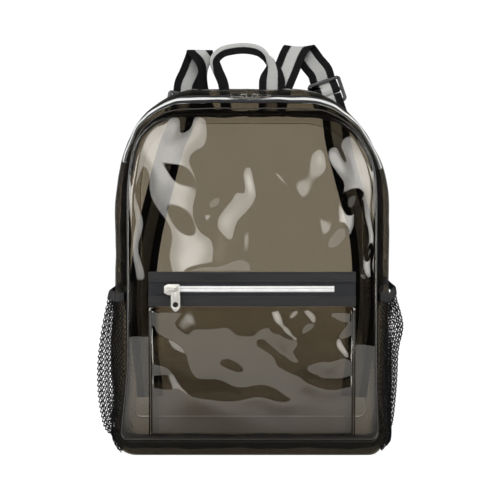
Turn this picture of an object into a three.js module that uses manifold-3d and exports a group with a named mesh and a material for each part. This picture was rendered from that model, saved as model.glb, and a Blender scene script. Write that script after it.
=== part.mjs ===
// A zipped backpack of smoke-tinted clear PVC: bulging gusset, front pocket, net side pockets,
// striped webbing handle and shoulder straps. Millimetres, +Z up, the front faces -Y.
import * as THREE from 'three';
import Module from 'manifold-3d';
import { mergeVertices } from 'three/addons/utils/BufferGeometryUtils.js';

const wasm = await Module();
wasm.setup();

// Body: the outline at mid depth, and how far the front and back seams lie inside it. The
// seams lie lower still at the top, their shoulders are squarer, and the crown leans a little.
const BODY_HEIGHT = 413;
const HALF_WIDTH = 158;
const HALF_DEPTH = 70;
const SEAM_INSET = 22;
const TOP_DROP = 1.6;
const SHOULDER_SQUARING = 0.85;
const CROWN_LEAN = -5;
const LEAN_FROM_Z = 310;
const LEAN_TO_Z = 385;
const SHOULDER_Z = 270;
const CROWN_HALF = 54;
const CORNER_RADIUS = 28;
const CORNER_TIGHTENING = 0.95;
const FLAT_BASE_SHARE = 0.74;
const FLAT_BASE_POWER = 1.7;
// How far the seams spread outwards at the foot of each side, and where that begins.
const SEAM_FLARE = { left: 10, right: 3 };
const FLARE_TOP_Z = 120;

// Materials in sheet form, and the gap that neighbours keep.
const PVC = 1.2;
const CLOTH = 1.4;
const WEBBING = 1.6;
const WEBBING_WIDTH = 32;
const GAP = 0.35;

// Crown of the front and back panels, and how sharply they tuck in at their seams.
const FRONT_SWELL = 8;
const BACK_SWELL = 3;
const SEAM_TUCK = { across: 3, upright: 6 };

// Main zip, along the gusset behind the front seam.
const ZIP_Y = -45;
const COIL_WIDTH = 4.4;
const COIL_RISE = 1.0;
const TAPE_WIDTH = 4.5;
const ZIP_END_LEFT_Z = 326;
const ZIP_END_RIGHT_Z = 318;

// Front pocket, sewn on the front panel.
const POCKET_HALF = 113.5;
const POCKET_BOTTOM = 25;
const POCKET_TOP = 207;
const BAND_HEIGHT = 11.5;
const POCKET_TAPE_HEIGHT = 15;
const TAPE_LAP = 2;
const POCKET_COIL_HEIGHT = 6.6;
const POCKET_COIL_ENDS = [-101, 90];
const HEM_WIDTH = 11;
const POCKET_STAND = 2.1;
const POCKET_SWELL = 11;
const POCKET_TUCK = { across: 4, upright: 1.4 };

// Net side pockets.
const NET = 1.0;
const NET_CORNER_SHARE = 0.35;
const NET_STAND = 1.4;
const NET_RISE = 42;
const NET_FULLNESS = 3;
const NET_DEPTH = 64;
const BINDING_HEIGHT = 9;

// Zip hardware: one row for each slider.
const PLATE = 1.2;
const PIVOT_CLEAR = 1.1;
const CROWN_BAR = 1.2;
const SLIDERS = {
  main: { length: 12, width: 8.4, noseWidth: 5.2, crownWidth: 1.8, crownSpan: 6.4 },
  pocket: { length: 17, width: 12, noseWidth: 7.6, crownWidth: 2.2, crownSpan: 9.2 },
};
const PULLS = {
  main: { length: 17, width: 6.4, tip: 2.2, window: [0.6, 4.4], windowWidth: 3.0, hole: 1.5, holeAt: 13.2 },
  pocket: { length: 24, width: 10, tip: 2.6, eye: 1.9, neck: 3.6, hole: 3.1, holeAt: 16.4 },
};
const MAIN_SLIDER_X = { left: -9, right: 3.4 };
const POCKET_SLIDER_X = -87;

// Ladder-lock adjusters on the shoulder straps.
const ADJUSTER = { width: 43, height: 33, thick: 3.2, rail: 4.2, bar: 4, corner: 3 };
const ADJUSTERS = {
  left: { x: -86, y: 113, z: 404, lean: 10 },
  right: { x: 94, y: 113, z: 420, lean: -19 },
};

// Folds of the front and back sheets: centre, half length and half breadth of each soft
// ridge, its lean from the x axis in degrees, and its rise outwards (negative is a dent).
const FRONT_FOLDS = [
  { x: -32, z: 262, long: 78, broad: 24, lean: 58, rise: 4.5 },
  { x: -86, z: 330, long: 60, broad: 20, lean: 66, rise: 3.5 },
  { x: 44, z: 280, long: 96, broad: 26, lean: 104, rise: -4 },
  { x: 98, z: 300, long: 80, broad: 18, lean: 108, rise: 3.5 },
  { x: 12, z: 350, long: 70, broad: 22, lean: 12, rise: -2.5 },
];
const BACK_FOLDS = [
  { x: -60, z: 210, long: 120, broad: 26, lean: 82, rise: 3 },
  { x: 55, z: 240, long: 130, broad: 30, lean: 96, rise: 3 },
  { x: 0, z: 130, long: 90, broad: 30, lean: 20, rise: -2 },
];
const POCKET_FOLDS = [
  { x: -50, z: 95, long: 48, broad: 20, lean: 40, rise: 3 },
  { x: 35, z: 110, long: 60, broad: 16, lean: -22, rise: -3 },
  { x: 70, z: 70, long: 40, broad: 18, lean: 60, rise: 2.5 },
];

// Dents of the gusset: centre along the outline from the bottom centre (right is positive),
// centre in depth, half length along, half breadth in depth, and how deep each goes.
const GUSSET_DENTS = [
  { along: 487, depth: -30, long: 9, broad: 34, sink: 1 },
  { along: -498, depth: -30, long: 9, broad: 34, sink: 1 },
  { along: 150, depth: -48, long: 8, broad: 20, sink: 5 },
  { along: -158, depth: -40, long: 10, broad: 24, sink: 3 },
  { along: 330, depth: 20, long: 60, broad: 22, sink: 4 },
  { along: -340, depth: 10, long: 70, broad: 24, sink: 4 },
];

// Top edge of each net pocket, at its front, middle and back.
const NET_TOPS = {
  left: { front: 183, middle: 180, back: 195 },
  right: { front: 184, middle: 184, back: 212 },
};
// How far each net pocket stands away from the side low down, half way up and at its top.
const NET_SWELLS = {
  left: { low: 3, middle: 20.95, top: 10 },
  right: { low: 0, middle: 13, top: 17 },
};

// Webbing routes. x, y, z is the middle of the band and yaw turns its width about +Z.
const UPPER_STRAPS = {
  left: [
    { x: -60, y: 76.2, z: 368, yaw: 0 },
    { x: -60.5, y: 76.2, z: 392, yaw: 0 },
    { x: -65, y: 83, z: 424, yaw: 2 },
    { x: -70, y: 92, z: 453, yaw: 3 },
    { x: -71, y: 97, z: 465, yaw: 3 },
    { x: -71.5, y: 101, z: 470, yaw: 3 },
    { x: -72, y: 105, z: 470, yaw: 3 },
    { x: -73, y: 109, z: 464, yaw: 3 },
    { x: -78, y: 112, z: 445, yaw: 2 },
  ],
  right: [
    { x: 23, y: 76.2, z: 368, yaw: 0 },
    { x: 24, y: 76.2, z: 392, yaw: 0 },
    { x: 32, y: 81, z: 420, yaw: 3 },
    { x: 42.5, y: 89, z: 446, yaw: 5 },
    { x: 52, y: 96, z: 464, yaw: 5 },
    { x: 57.5, y: 100.5, z: 471, yaw: 5 },
    { x: 61, y: 105, z: 472, yaw: 5 },
    { x: 65, y: 109, z: 468, yaw: 4 },
    { x: 76, y: 112, z: 456, yaw: 2 },
  ],
};
const LOWER_STRAPS = {
  left: [
    { x: -101, y: 111, z: 352, yaw: 0 },
    { x: -116, y: 106, z: 295, yaw: 0 },
    { x: -129, y: 101, z: 238, yaw: 0 },
    { x: -137, y: 96, z: 170, yaw: 0 },
    { x: -133, y: 87, z: 105, yaw: 0 },
    { x: -127, y: 77, z: 64, yaw: 0 },
    { x: -125, y: 74.8, z: 44, yaw: 0 },
  ],
  right: [
    { x: 108, y: 111, z: 358, yaw: 0 },
    { x: 122, y: 106, z: 302, yaw: 0 },
    { x: 137, y: 101, z: 243, yaw: 0 },
    { x: 141, y: 96, z: 172, yaw: 0 },
    { x: 135, y: 87, z: 105, yaw: 0 },
    { x: 128, y: 77, z: 64, yaw: 0 },
    { x: 125, y: 74.8, z: 44, yaw: 0 },
  ],
};
// A strap's turn round an adjuster bar, from its standing part to its sewn end.
const BAR_LOOP = [
  { out: -1.5, up: 13 },
  { out: -3.0, up: 5 },
  { out: -3.3, up: 0 },
  { out: -2.3, up: -2.5 },
  { out: 0, up: -3.5 },
  { out: 2.3, up: -2.5 },
  { out: 3.3, up: 0 },
  { out: 3.0, up: 5 },
  { out: 1.5, up: 16 },
];
// The handle: its webbing is folded lengthwise on the left leg and the grip, and opens flat
// down the right leg.
const HANDLE = [
  { x: -30.5, y: 75.2, z: 368, width: 12, thick: 4 },
  { x: -31.5, y: 75.2, z: 400, width: 12, thick: 4 },
  { x: -37, y: 76.4, z: 428, width: 12, thick: 4.4 },
  { x: -44, y: 76.4, z: 445, width: 12, thick: 5 },
  { x: -45, y: 76.4, z: 456, width: 12, thick: 5 },
  { x: -37, y: 76.4, z: 465, width: 12, thick: 5.5 },
  { x: -23, y: 76.4, z: 469, width: 12, thick: 6 },
  { x: -8.5, y: 76.4, z: 470, width: 12, thick: 6 },
  { x: 6, y: 76.4, z: 467.5, width: 12, thick: 6 },
  { x: 17, y: 76.2, z: 459, width: 13, thick: 5 },
  { x: 22.5, y: 75.4, z: 447, width: 17, thick: 3.4 },
  { x: 24.5, y: 74.8, z: 430, width: 31, thick: 1.8 },
  { x: 24, y: 73.6, z: 405, width: 32, thick: 1.6 },
  { x: 23.5, y: 73.4, z: 368, width: 32, thick: 1.6 },
];
const STRAP_STEPS = 3;

const BOTTOM_RUN = HALF_WIDTH - CORNER_RADIUS;
const CORNER_RUN = (Math.PI / 2) * CORNER_RADIUS;
const SIDE_RUN = SHOULDER_Z - CORNER_RADIUS;
const SHOULDER_SPAN = Math.hypot(HALF_WIDTH - CROWN_HALF, BODY_HEIGHT - SHOULDER_Z);
const SHOULDER_RUN = (Math.PI / 2) * SHOULDER_SPAN / Math.SQRT2;
const SIDE_START = BOTTOM_RUN + CORNER_RUN;
const SHOULDER_START = SIDE_START + SIDE_RUN;
const CROWN_START = SHOULDER_START + SHOULDER_RUN;
const HALF_RUN = CROWN_START + CROWN_HALF;
const SEAM_TOP = BODY_HEIGHT - TOP_DROP * SEAM_INSET;
const NET_START = BOTTOM_RUN + NET_CORNER_SHARE * CORNER_RUN;
const SEAM_Y = HALF_DEPTH - PVC - GAP;

const lerp = THREE.MathUtils.lerp;
const smooth = THREE.MathUtils.smoothstep;
const radians = THREE.MathUtils.degToRad;

// A closed sheet on a grid: pointAt(u, v, face) gives the outer face at 0 and the inner at 1.
function wall(columns, rows, pointAt) {
  const positions = [];
  const index = [];
  const perFace = (columns + 1) * (rows + 1);
  for (const face of [0, 1]) {
    for (let j = 0; j <= rows; j += 1) {
      for (let i = 0; i <= columns; i += 1) {
        positions.push(...pointAt(i / columns, j / rows, face).toArray());
      }
    }
  }
  const at = (i, j, face) => face * perFace + j * (columns + 1) + i;
  const quad = (a, b, c, d) => index.push(a, b, c, a, c, d);
  for (let j = 0; j < rows; j += 1) {
    for (let i = 0; i < columns; i += 1) {
      quad(at(i, j, 0), at(i + 1, j, 0), at(i + 1, j + 1, 0), at(i, j + 1, 0));
      quad(at(i, j, 1), at(i, j + 1, 1), at(i + 1, j + 1, 1), at(i + 1, j, 1));
    }
  }
  for (let i = 0; i < columns; i += 1) {
    quad(at(i + 1, 0, 0), at(i, 0, 0), at(i, 0, 1), at(i + 1, 0, 1));
    quad(at(i, rows, 0), at(i + 1, rows, 0), at(i + 1, rows, 1), at(i, rows, 1));
  }
  for (let j = 0; j < rows; j += 1) {
    quad(at(columns, j + 1, 0), at(columns, j, 0), at(columns, j, 1), at(columns, j + 1, 1));
    quad(at(0, j, 0), at(0, j + 1, 0), at(0, j + 1, 1), at(0, j, 1));
  }
  const geometry = new THREE.BufferGeometry();
  geometry.setAttribute('position', new THREE.Float32BufferAttribute(positions, 3));
  geometry.setIndex(index);
  return facingOut(geometry);
}

// Turns a closed geometry's triangles round if they enclose a negative volume.
function facingOut(geometry) {
  const position = geometry.getAttribute('position');
  const index = geometry.getIndex().array;
  const corner = (k) => new THREE.Vector3().fromBufferAttribute(position, index[k]);
  let volume = 0;
  for (let k = 0; k < index.length; k += 3) {
    volume += corner(k).dot(corner(k + 1).cross(corner(k + 2)));
  }
  if (volume < 0) {
    geometry.setIndex(Array.from(index).reverse());
  }
  return geometry;
}

// A solid for joining and cutting, from any closed three.js geometry.
function solid(geometry) {
  const bare = geometry.clone();
  bare.deleteAttribute('normal');
  bare.deleteAttribute('uv');
  const merged = mergeVertices(bare, 1e-4);
  const vertProperties = new Float32Array(merged.getAttribute('position').array);
  const triVerts = new Uint32Array(merged.getIndex().array);
  return new wasm.Manifold(new wasm.Mesh({ numProp: 3, vertProperties, triVerts }));
}

function fromSolid(manifold) {
  const mesh = manifold.getMesh();
  const geometry = new THREE.BufferGeometry();
  geometry.setAttribute('position', new THREE.Float32BufferAttribute(mesh.vertProperties, 3));
  geometry.setIndex(Array.from(mesh.triVerts));
  return geometry;
}

function block(sizeX, sizeY, sizeZ, x, y, z) {
  return new THREE.BoxGeometry(sizeX, sizeY, sizeZ).translate(x, y, z);
}

// A point of the outline: along runs from the bottom centre up the right side to the top
// centre and down the left side, and inset moves the whole outline inwards, less so where
// the seams spread.
function ring(along, inset, sink = 0) {
  const turned = along > HALF_RUN ? along - 2 * HALF_RUN : along;
  const hand = turned < 0 ? -1 : 1;
  const run = Math.abs(turned);
  const side = HALF_WIDTH - inset - sink;
  const bottom = inset + sink;
  const top = BODY_HEIGHT - TOP_DROP * inset - sink;
  const radius = CORNER_RADIUS - CORNER_TIGHTENING * inset;
  let x = CROWN_HALF * (HALF_RUN - run) / (HALF_RUN - CROWN_START);
  let z = top;
  if (run < BOTTOM_RUN) {
    x = (side - radius) * run / BOTTOM_RUN;
    z = bottom;
  } else if (run < SIDE_START) {
    const angle = (run - BOTTOM_RUN) / CORNER_RADIUS;
    x = side - radius + radius * Math.sin(angle);
    z = bottom + radius * (1 - Math.cos(angle));
  } else if (run < SHOULDER_START) {
    x = side;
    z = lerp(bottom + radius, SHOULDER_Z, (run - SIDE_START) / SIDE_RUN);
  } else if (run < CROWN_START) {
    const angle = (Math.PI / 2) * (run - SHOULDER_START) / SHOULDER_RUN;
    const power = 2 / shoulderPower(inset);
    x = CROWN_HALF + (side - CROWN_HALF) * Math.cos(angle) ** power;
    z = SHOULDER_Z + (top - SHOULDER_Z) * Math.sin(angle) ** power;
  }
  const spread = SEAM_FLARE[hand < 0 ? 'left' : 'right'] * (1 - smooth(z, 0, FLARE_TOP_Z));
  x += spread * THREE.MathUtils.clamp(inset / SEAM_INSET, 0, 1) * x / HALF_WIDTH;
  return { x: hand * x + leanAt(z), z };
}

// The shoulder is an ellipse at mid depth, and squarer the further in the outline lies.
function shoulderPower(inset) {
  return 2 + SHOULDER_SQUARING * Math.max(0, inset) / SEAM_INSET;
}

function leanAt(z) {
  return CROWN_LEAN * smooth(z, LEAN_FROM_Z, LEAN_TO_Z);
}

function alongAtShoulder(z) {
  const angle = Math.asin((z - SHOULDER_Z) / (BODY_HEIGHT - SHOULDER_Z));
  return SHOULDER_START + SHOULDER_RUN * angle / (Math.PI / 2);
}

// How far the gusset lies inside the mid-depth outline: a round bulge, flattened at the base.
function gussetInset(along, depth) {
  const turned = along > HALF_RUN ? along - 2 * HALF_RUN : along;
  const reach = Math.abs(depth) / HALF_DEPTH;
  const round = reach * reach;
  const flat = Math.max(0, (reach - FLAT_BASE_SHARE) / (1 - FLAT_BASE_SHARE)) ** FLAT_BASE_POWER;
  const lifted = smooth(Math.abs(turned), BOTTOM_RUN, SIDE_START + CORNER_RUN);
  let inset = SEAM_INSET * lerp(flat, round, lifted);
  const free = 1 - reach ** 4;
  for (const dent of GUSSET_DENTS) {
    const p = (turned - dent.along) / dent.long;
    const q = (depth - dent.depth) / dent.broad;
    inset += free * dent.sink * Math.exp(-p * p - q * q);
  }
  return inset;
}

function gusset(from, to, front, back, columns, rows, rise = 0, thickness = PVC) {
  return wall(columns, rows, (u, v, face) => {
    const along = lerp(from, to, u);
    const depth = lerp(front, back, v);
    const edge = ring(along, gussetInset(along, depth), face * thickness - (1 - face) * rise);
    return new THREE.Vector3(edge.x, depth, edge.z);
  });
}

function foldHeight(folds, x, z) {
  let height = 0;
  for (const fold of folds) {
    const lean = radians(fold.lean);
    const p = ((x - fold.x) * Math.cos(lean) + (z - fold.z) * Math.sin(lean)) / fold.long;
    const q = ((z - fold.z) * Math.cos(lean) - (x - fold.x) * Math.sin(lean)) / fold.broad;
    height += fold.rise * Math.exp(-p * p - q * q);
  }
  return height;
}

// Half width of the seam outline at a height, and how free a point is of the seam round it.
function seamHalf(z) {
  const radius = CORNER_RADIUS - CORNER_TIGHTENING * SEAM_INSET;
  const side = HALF_WIDTH - SEAM_INSET;
  if (z < SEAM_INSET + radius) {
    const drop = (SEAM_INSET + radius - z) / radius;
    return side - radius + radius * Math.sqrt(Math.max(0, 1 - drop * drop));
  }
  if (z > SHOULDER_Z) {
    const power = shoulderPower(SEAM_INSET);
    const climb = Math.min(1, (z - SHOULDER_Z) / (SEAM_TOP - SHOULDER_Z));
    return CROWN_HALF + (side - CROWN_HALF) * (1 - climb ** power) ** (1 / power);
  }
  return side;
}

function seamFreedom(x, z) {
  const across = Math.min(1, Math.abs(x - leanAt(z)) / seamHalf(z));
  const middle = (SEAM_TOP + SEAM_INSET) / 2;
  const upright = Math.min(1, Math.abs(z - middle) / (SEAM_TOP - middle));
  return (1 - across ** SEAM_TUCK.across) * (1 - upright ** SEAM_TUCK.upright);
}

function frontY(x, z) {
  return -HALF_DEPTH - seamFreedom(x, z) * (FRONT_SWELL + foldHeight(FRONT_FOLDS, x, z));
}

function backY(x, z) {
  return HALF_DEPTH + seamFreedom(x, z) * (BACK_SWELL + foldHeight(BACK_FOLDS, x, z));
}

// A whole panel inside the seam outline; outward is -1 for the front and 1 for the back.
function panel(columns, rows, surfaceY, outward) {
  return wall(columns, rows, (u, v, face) => {
    const along = lerp(BOTTOM_RUN, CROWN_START, v);
    const right = ring(along, SEAM_INSET - GAP);
    const x = lerp(ring(-along, SEAM_INSET - GAP).x, right.x, u);
    return new THREE.Vector3(x, surfaceY(x, right.z) - outward * face * PVC, right.z);
  });
}

// The pocket front's swell away from the front panel, nothing at its sewn edges.
function pocketLift(x, z) {
  const top = POCKET_TOP - BAND_HEIGHT - POCKET_TAPE_HEIGHT - BAND_HEIGHT;
  const upright = THREE.MathUtils.clamp((z - POCKET_BOTTOM) / (top - POCKET_BOTTOM), 0, 1);
  const across = Math.min(1, Math.abs(x) / (POCKET_HALF - HEM_WIDTH));
  const free = Math.sin(Math.PI * upright) ** POCKET_TUCK.upright * (1 - across ** POCKET_TUCK.across);
  return free * (POCKET_SWELL + foldHeight(POCKET_FOLDS, x, z));
}

// A rectangular patch lying a given distance in front of the front panel.
function patch(left, right, bottom, top, stand, thickness, columns, rows, lift = () => 0) {
  return wall(columns, rows, (u, v, face) => {
    const x = lerp(left, right, u);
    const z = lerp(bottom, top, v);
    const y = frontY(x, z) - stand - lift(x, z) - (1 - face) * thickness;
    return new THREE.Vector3(x, y, z);
  });
}

// Where a net pocket's top edge lies at a depth: a parabola through front, middle and back.
function netTop(hand, depth) {
  const top = NET_TOPS[hand];
  const reach = depth / NET_DEPTH;
  const slope = (top.back - top.front) / 2;
  const bow = (top.back + top.front) / 2 - top.middle;
  return top.middle + slope * reach + bow * reach * reach;
}

function netPoint(hand, depth, along, stand) {
  const reach = Math.abs(depth) / NET_DEPTH;
  const short = 1 - Math.min(1, (along - NET_START) / NET_RISE);
  const { low, middle, top } = NET_SWELLS[hand];
  const height = (along - NET_START) / (alongSide(netTop(hand, depth)) - NET_START);
  const stands = middle + (top - low) * (height - 0.5) + 2 * (top + low - 2 * middle) * (height - 0.5) ** 2;
  const swell = stands * (1 - short ** 2) * (1 - reach ** NET_FULLNESS);
  const sign = hand === 'left' ? -1 : 1;
  const edge = ring(sign * along, gussetInset(sign * along, depth), -NET_STAND - swell - stand);
  return new THREE.Vector3(edge.x, depth, edge.z);
}

function alongSide(z) {
  return SIDE_START + z - CORNER_RADIUS;
}

function netPocket(hand) {
  return wall(10, 10, (u, v, face) => {
    const depth = lerp(-NET_DEPTH, NET_DEPTH, u);
    const end = alongSide(netTop(hand, depth) - BINDING_HEIGHT - GAP);
    return netPoint(hand, depth, lerp(NET_START, end, v), (1 - face) * NET);
  });
}

function netBinding(hand) {
  return wall(10, 1, (u, v, face) => {
    const depth = lerp(-NET_DEPTH, NET_DEPTH, u);
    const end = alongSide(netTop(hand, depth));
    return netPoint(hand, depth, lerp(end - BINDING_HEIGHT, end, v), (1 - face) * WEBBING);
  });
}

// Webbing along a route. The band's width lies level, turned by yaw, or in the route's own
// upright plane where the rows give no yaw.
function ribbon(rows, steps, across = 2) {
  const points = rows.map((row) => new THREE.Vector3(row.x, row.y, row.z));
  const curve = new THREE.CatmullRomCurve3(points, false, 'centripetal');
  const valueAt = (u, name, fallback) => {
    const place = u * (rows.length - 1);
    const first = Math.min(rows.length - 2, Math.floor(place));
    const from = rows[first][name] ?? fallback;
    const to = rows[first + 1][name] ?? fallback;
    return lerp(from, to, place - first);
  };
  const level = rows[0].yaw !== undefined;
  return wall(steps, across, (u, v, face) => {
    const middle = curve.getPoint(u);
    const tangent = curve.getTangent(u);
    const wide = new THREE.Vector3(0, 1, 0).cross(tangent);
    if (level) {
      const yaw = radians(valueAt(u, 'yaw', 0));
      const lean = radians(valueAt(u, 'lean', 0));
      wide.set(Math.cos(yaw) * Math.cos(lean), Math.sin(yaw), -Math.cos(yaw) * Math.sin(lean));
      wide.addScaledVector(tangent, -wide.dot(tangent));
    }
    wide.normalize();
    const normal = tangent.clone().cross(wide).normalize();
    const width = valueAt(u, 'width', WEBBING_WIDTH);
    const thick = valueAt(u, 'thick', WEBBING);
    return middle
      .addScaledVector(wide, (v - 0.5) * width)
      .addScaledVector(normal, (0.5 - face) * thick);
  });
}

// The turn of a strap round an adjuster's top bar (up is 1) or bottom bar (up is -1).
function barLoop(place, up) {
  const lean = radians(place.lean);
  const barAt = up * (ADJUSTER.height - ADJUSTER.bar) / 2;
  return BAR_LOOP.map((row) => {
    const height = barAt + up * row.up;
    return {
      x: place.x + height * Math.sin(lean),
      y: place.y + up * row.out,
      z: place.z + height * Math.cos(lean),
      yaw: 0,
      lean: place.lean,
    };
  });
}

function adjuster() {
  const slotWidth = ADJUSTER.width - 2 * ADJUSTER.rail;
  const slotHeight = (ADJUSTER.height - 3 * ADJUSTER.bar) / 2;
  const slotAt = (slotHeight + ADJUSTER.bar) / 2;
  const { corner } = ADJUSTER;
  const halfX = ADJUSTER.width / 2;
  const halfZ = ADJUSTER.height / 2;
  const outline = new THREE.Shape();
  outline.moveTo(-halfX + corner, -halfZ);
  outline.lineTo(halfX - corner, -halfZ);
  outline.lineTo(halfX, -halfZ + corner);
  outline.lineTo(halfX, halfZ - corner);
  outline.lineTo(halfX - corner, halfZ);
  outline.lineTo(-halfX + corner, halfZ);
  outline.lineTo(-halfX, halfZ - corner);
  outline.lineTo(-halfX, -halfZ + corner);
  outline.closePath();
  const frame = new THREE.ExtrudeGeometry(outline, { depth: ADJUSTER.thick, bevelEnabled: false });
  frame.translate(0, 0, -ADJUSTER.thick / 2).rotateX(Math.PI / 2);
  let body = solid(frame);
  for (const up of [-1, 1]) {
    body = body.subtract(solid(block(slotWidth, 2 * ADJUSTER.thick, slotHeight, 0, 0, up * slotAt)));
  }
  return fromSolid(body);
}

// A slider in its own frame: travel along X, the zip's width along Y, outwards along Z, with
// its underside at z = 0. The crown is a bridge along X that the pull hangs on.
function slider({ length, width, noseWidth, crownWidth, crownSpan }) {
  const outline = new THREE.Shape();
  outline.moveTo(-length / 2, -noseWidth / 2);
  outline.lineTo(-length / 4, -width / 2);
  outline.lineTo(length / 2 - 1, -width / 2);
  outline.lineTo(length / 2, -width / 2 + 1);
  outline.lineTo(length / 2, width / 2 - 1);
  outline.lineTo(length / 2 - 1, width / 2);
  outline.lineTo(-length / 4, width / 2);
  outline.lineTo(-length / 2, noseWidth / 2);
  outline.closePath();
  let body = solid(new THREE.ExtrudeGeometry(outline, { depth: PLATE, bevelEnabled: false }));
  const crown = new THREE.Shape();
  const half = crownSpan / 2;
  const rise = PLATE + 2 * PIVOT_CLEAR + CROWN_BAR;
  const slope = CROWN_BAR / 2;
  crown.moveTo(-half, PLATE / 2);
  crown.lineTo(-half + CROWN_BAR, PLATE / 2);
  crown.lineTo(-half + CROWN_BAR, rise - CROWN_BAR);
  crown.lineTo(half - CROWN_BAR, rise - CROWN_BAR);
  crown.lineTo(half - CROWN_BAR, PLATE / 2);
  crown.lineTo(half, PLATE / 2);
  crown.lineTo(half, rise - slope);
  crown.lineTo(half - slope, rise);
  crown.lineTo(-half + slope, rise);
  crown.lineTo(-half, rise - slope);
  crown.closePath();
  const bridge = new THREE.ExtrudeGeometry(crown, { depth: crownWidth, bevelEnabled: false });
  bridge.rotateX(Math.PI / 2).translate(0, crownWidth / 2, 0);
  body = body.add(solid(bridge));
  return fromSolid(body);
}

// Outline of a pull tab along +X from its pivot at the origin, tapering to a pointed tip.
function tabShape({ length, width, tip }, startX, startHalf, shoulderX) {
  const tab = new THREE.Shape();
  const half = width / 2;
  tab.moveTo(startX, -startHalf);
  tab.lineTo(shoulderX, -half);
  tab.lineTo(length - 2 * tip, -half);
  tab.lineTo(length - tip / 2, -half / 2);
  tab.lineTo(length, 0);
  tab.lineTo(length - tip / 2, half / 2);
  tab.lineTo(length - 2 * tip, half);
  tab.lineTo(shoulderX, half);
  tab.lineTo(startX, startHalf);
  tab.closePath();
  return tab;
}

function roundHole(x, radius, sides) {
  const hole = new THREE.Path();
  for (let k = 0; k < sides; k += 1) {
    const angle = (-2 * Math.PI * k) / sides;
    const point = new THREE.Vector2(x + radius * Math.cos(angle), radius * Math.sin(angle));
    if (k === 0) {
      hole.moveTo(point.x, point.y);
    } else {
      hole.lineTo(point.x, point.y);
    }
  }
  hole.closePath();
  return hole;
}

// The main zip's pull: an end bar under the crown, a window round its leg, and a grip hole.
function mainPull(size) {
  const [near, far] = size.window;
  const tab = tabShape(size, -near, size.width / 2, far + 2);
  const half = size.windowWidth / 2;
  const opening = new THREE.Path();
  opening.moveTo(near, -half);
  opening.lineTo(near, half);
  opening.lineTo(far, half);
  opening.lineTo(far, -half);
  opening.closePath();
  tab.holes.push(opening, roundHole(size.holeAt, size.hole, 8));
  const plate = new THREE.ExtrudeGeometry(tab, { depth: PLATE, bevelEnabled: false });
  return plate.translate(0, 0, -PLATE / 2);
}

// The pocket zip's pull: an eye round one leg of the crown and a large grip hole.
function pocketPull(size) {
  const tab = tabShape(size, -size.neck, size.neck / 2, size.neck + 3);
  tab.holes.push(roundHole(0, size.eye, 12), roundHole(size.holeAt, size.hole, 12));
  const plate = new THREE.ExtrudeGeometry(tab, { depth: PLATE, bevelEnabled: false });
  return plate.translate(0, 0, -PLATE / 2);
}

function material(color, roughness, metalness = 0) {
  return new THREE.MeshStandardMaterial({ color, roughness, metalness });
}

const smokePvc = material('#4a4238', 0.12);
const blackCloth = material('#141414', 0.85);
const stripedWebbing = material('#5b5b5c', 0.8);
const blackNet = material('#1b1b1c', 0.8);
const whiteCoil = material('#e6e6e2', 0.5);
const silver = material('#c9c7c2', 0.3, 1);
const blackPlastic = material('#161617', 0.45);

const bag = new THREE.Group();
function place(name, geometry, finish, parent = bag) {
  const mesh = new THREE.Mesh(geometry, finish);
  mesh.name = name;
  parent.add(mesh);
  return mesh;
}

// Shell.
const zipRight = alongAtShoulder(ZIP_END_RIGHT_Z);
const zipLeft = alongAtShoulder(ZIP_END_LEFT_Z);
const topFrom = zipRight;
const topTo = 2 * HALF_RUN - zipLeft;
const coilFront = ZIP_Y - COIL_WIDTH / 2;
const coilBack = ZIP_Y + COIL_WIDTH / 2;
place('front_panel', panel(14, 22, frontY, -1), smokePvc);
place('back_panel', panel(10, 18, backY, 1), smokePvc);
place('bottom_panel', gusset(-SIDE_START, SIDE_START, -SEAM_Y, SEAM_Y, 18, 8), smokePvc);
place('side_panel_right', gusset(SIDE_START + GAP, zipRight - GAP, -SEAM_Y, SEAM_Y, 13, 8), smokePvc);
place('side_panel_left', gusset(GAP - zipLeft, -SIDE_START - GAP, -SEAM_Y, SEAM_Y, 13, 8), smokePvc);
const tapeFront = coilFront - GAP - TAPE_WIDTH;
const tapeBack = coilBack + GAP + TAPE_WIDTH;
place('top_strip_front', gusset(topFrom, topTo, -SEAM_Y, tapeFront - GAP, 26, 1), smokePvc);
place('top_strip_back', gusset(topFrom, topTo, tapeBack + GAP, SEAM_Y, 26, 5), smokePvc);

// Main zip.
place('main_zip_tape_front', gusset(topFrom, topTo, tapeFront, coilFront - GAP, 26, 1), blackCloth);
place('main_zip_tape_back', gusset(topFrom, topTo, coilBack + GAP, tapeBack, 26, 1), blackCloth);
place('main_zip_coil', gusset(topFrom, topTo, coilFront, coilBack, 26, 2, COIL_RISE), whiteCoil);
const zipSlope = Math.atan(TOP_DROP * 2 * SEAM_INSET * Math.abs(ZIP_Y) / HALF_DEPTH ** 2);
const zipInset = gussetInset(HALF_RUN, ZIP_Y);
for (const [hand, turn] of [['left', Math.PI], ['right', 0]]) {
  const seat = new THREE.Group();
  seat.position.set(MAIN_SLIDER_X[hand], ZIP_Y, BODY_HEIGHT - TOP_DROP * zipInset);
  seat.rotation.x = zipSlope;
  const hardware = new THREE.Group();
  hardware.position.z = COIL_RISE + GAP;
  hardware.rotation.z = turn;
  seat.add(hardware);
  bag.add(seat);
  place(`main_slider_${hand}`, slider(SLIDERS.main), silver, hardware);
  const pull = place(`main_pull_${hand}`, mainPull(PULLS.main), silver, hardware);
  pull.position.x = SLIDERS.main.crownSpan / 2 - CROWN_BAR - PIVOT_CLEAR;
  pull.position.z = PLATE + PIVOT_CLEAR;
}

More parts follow.
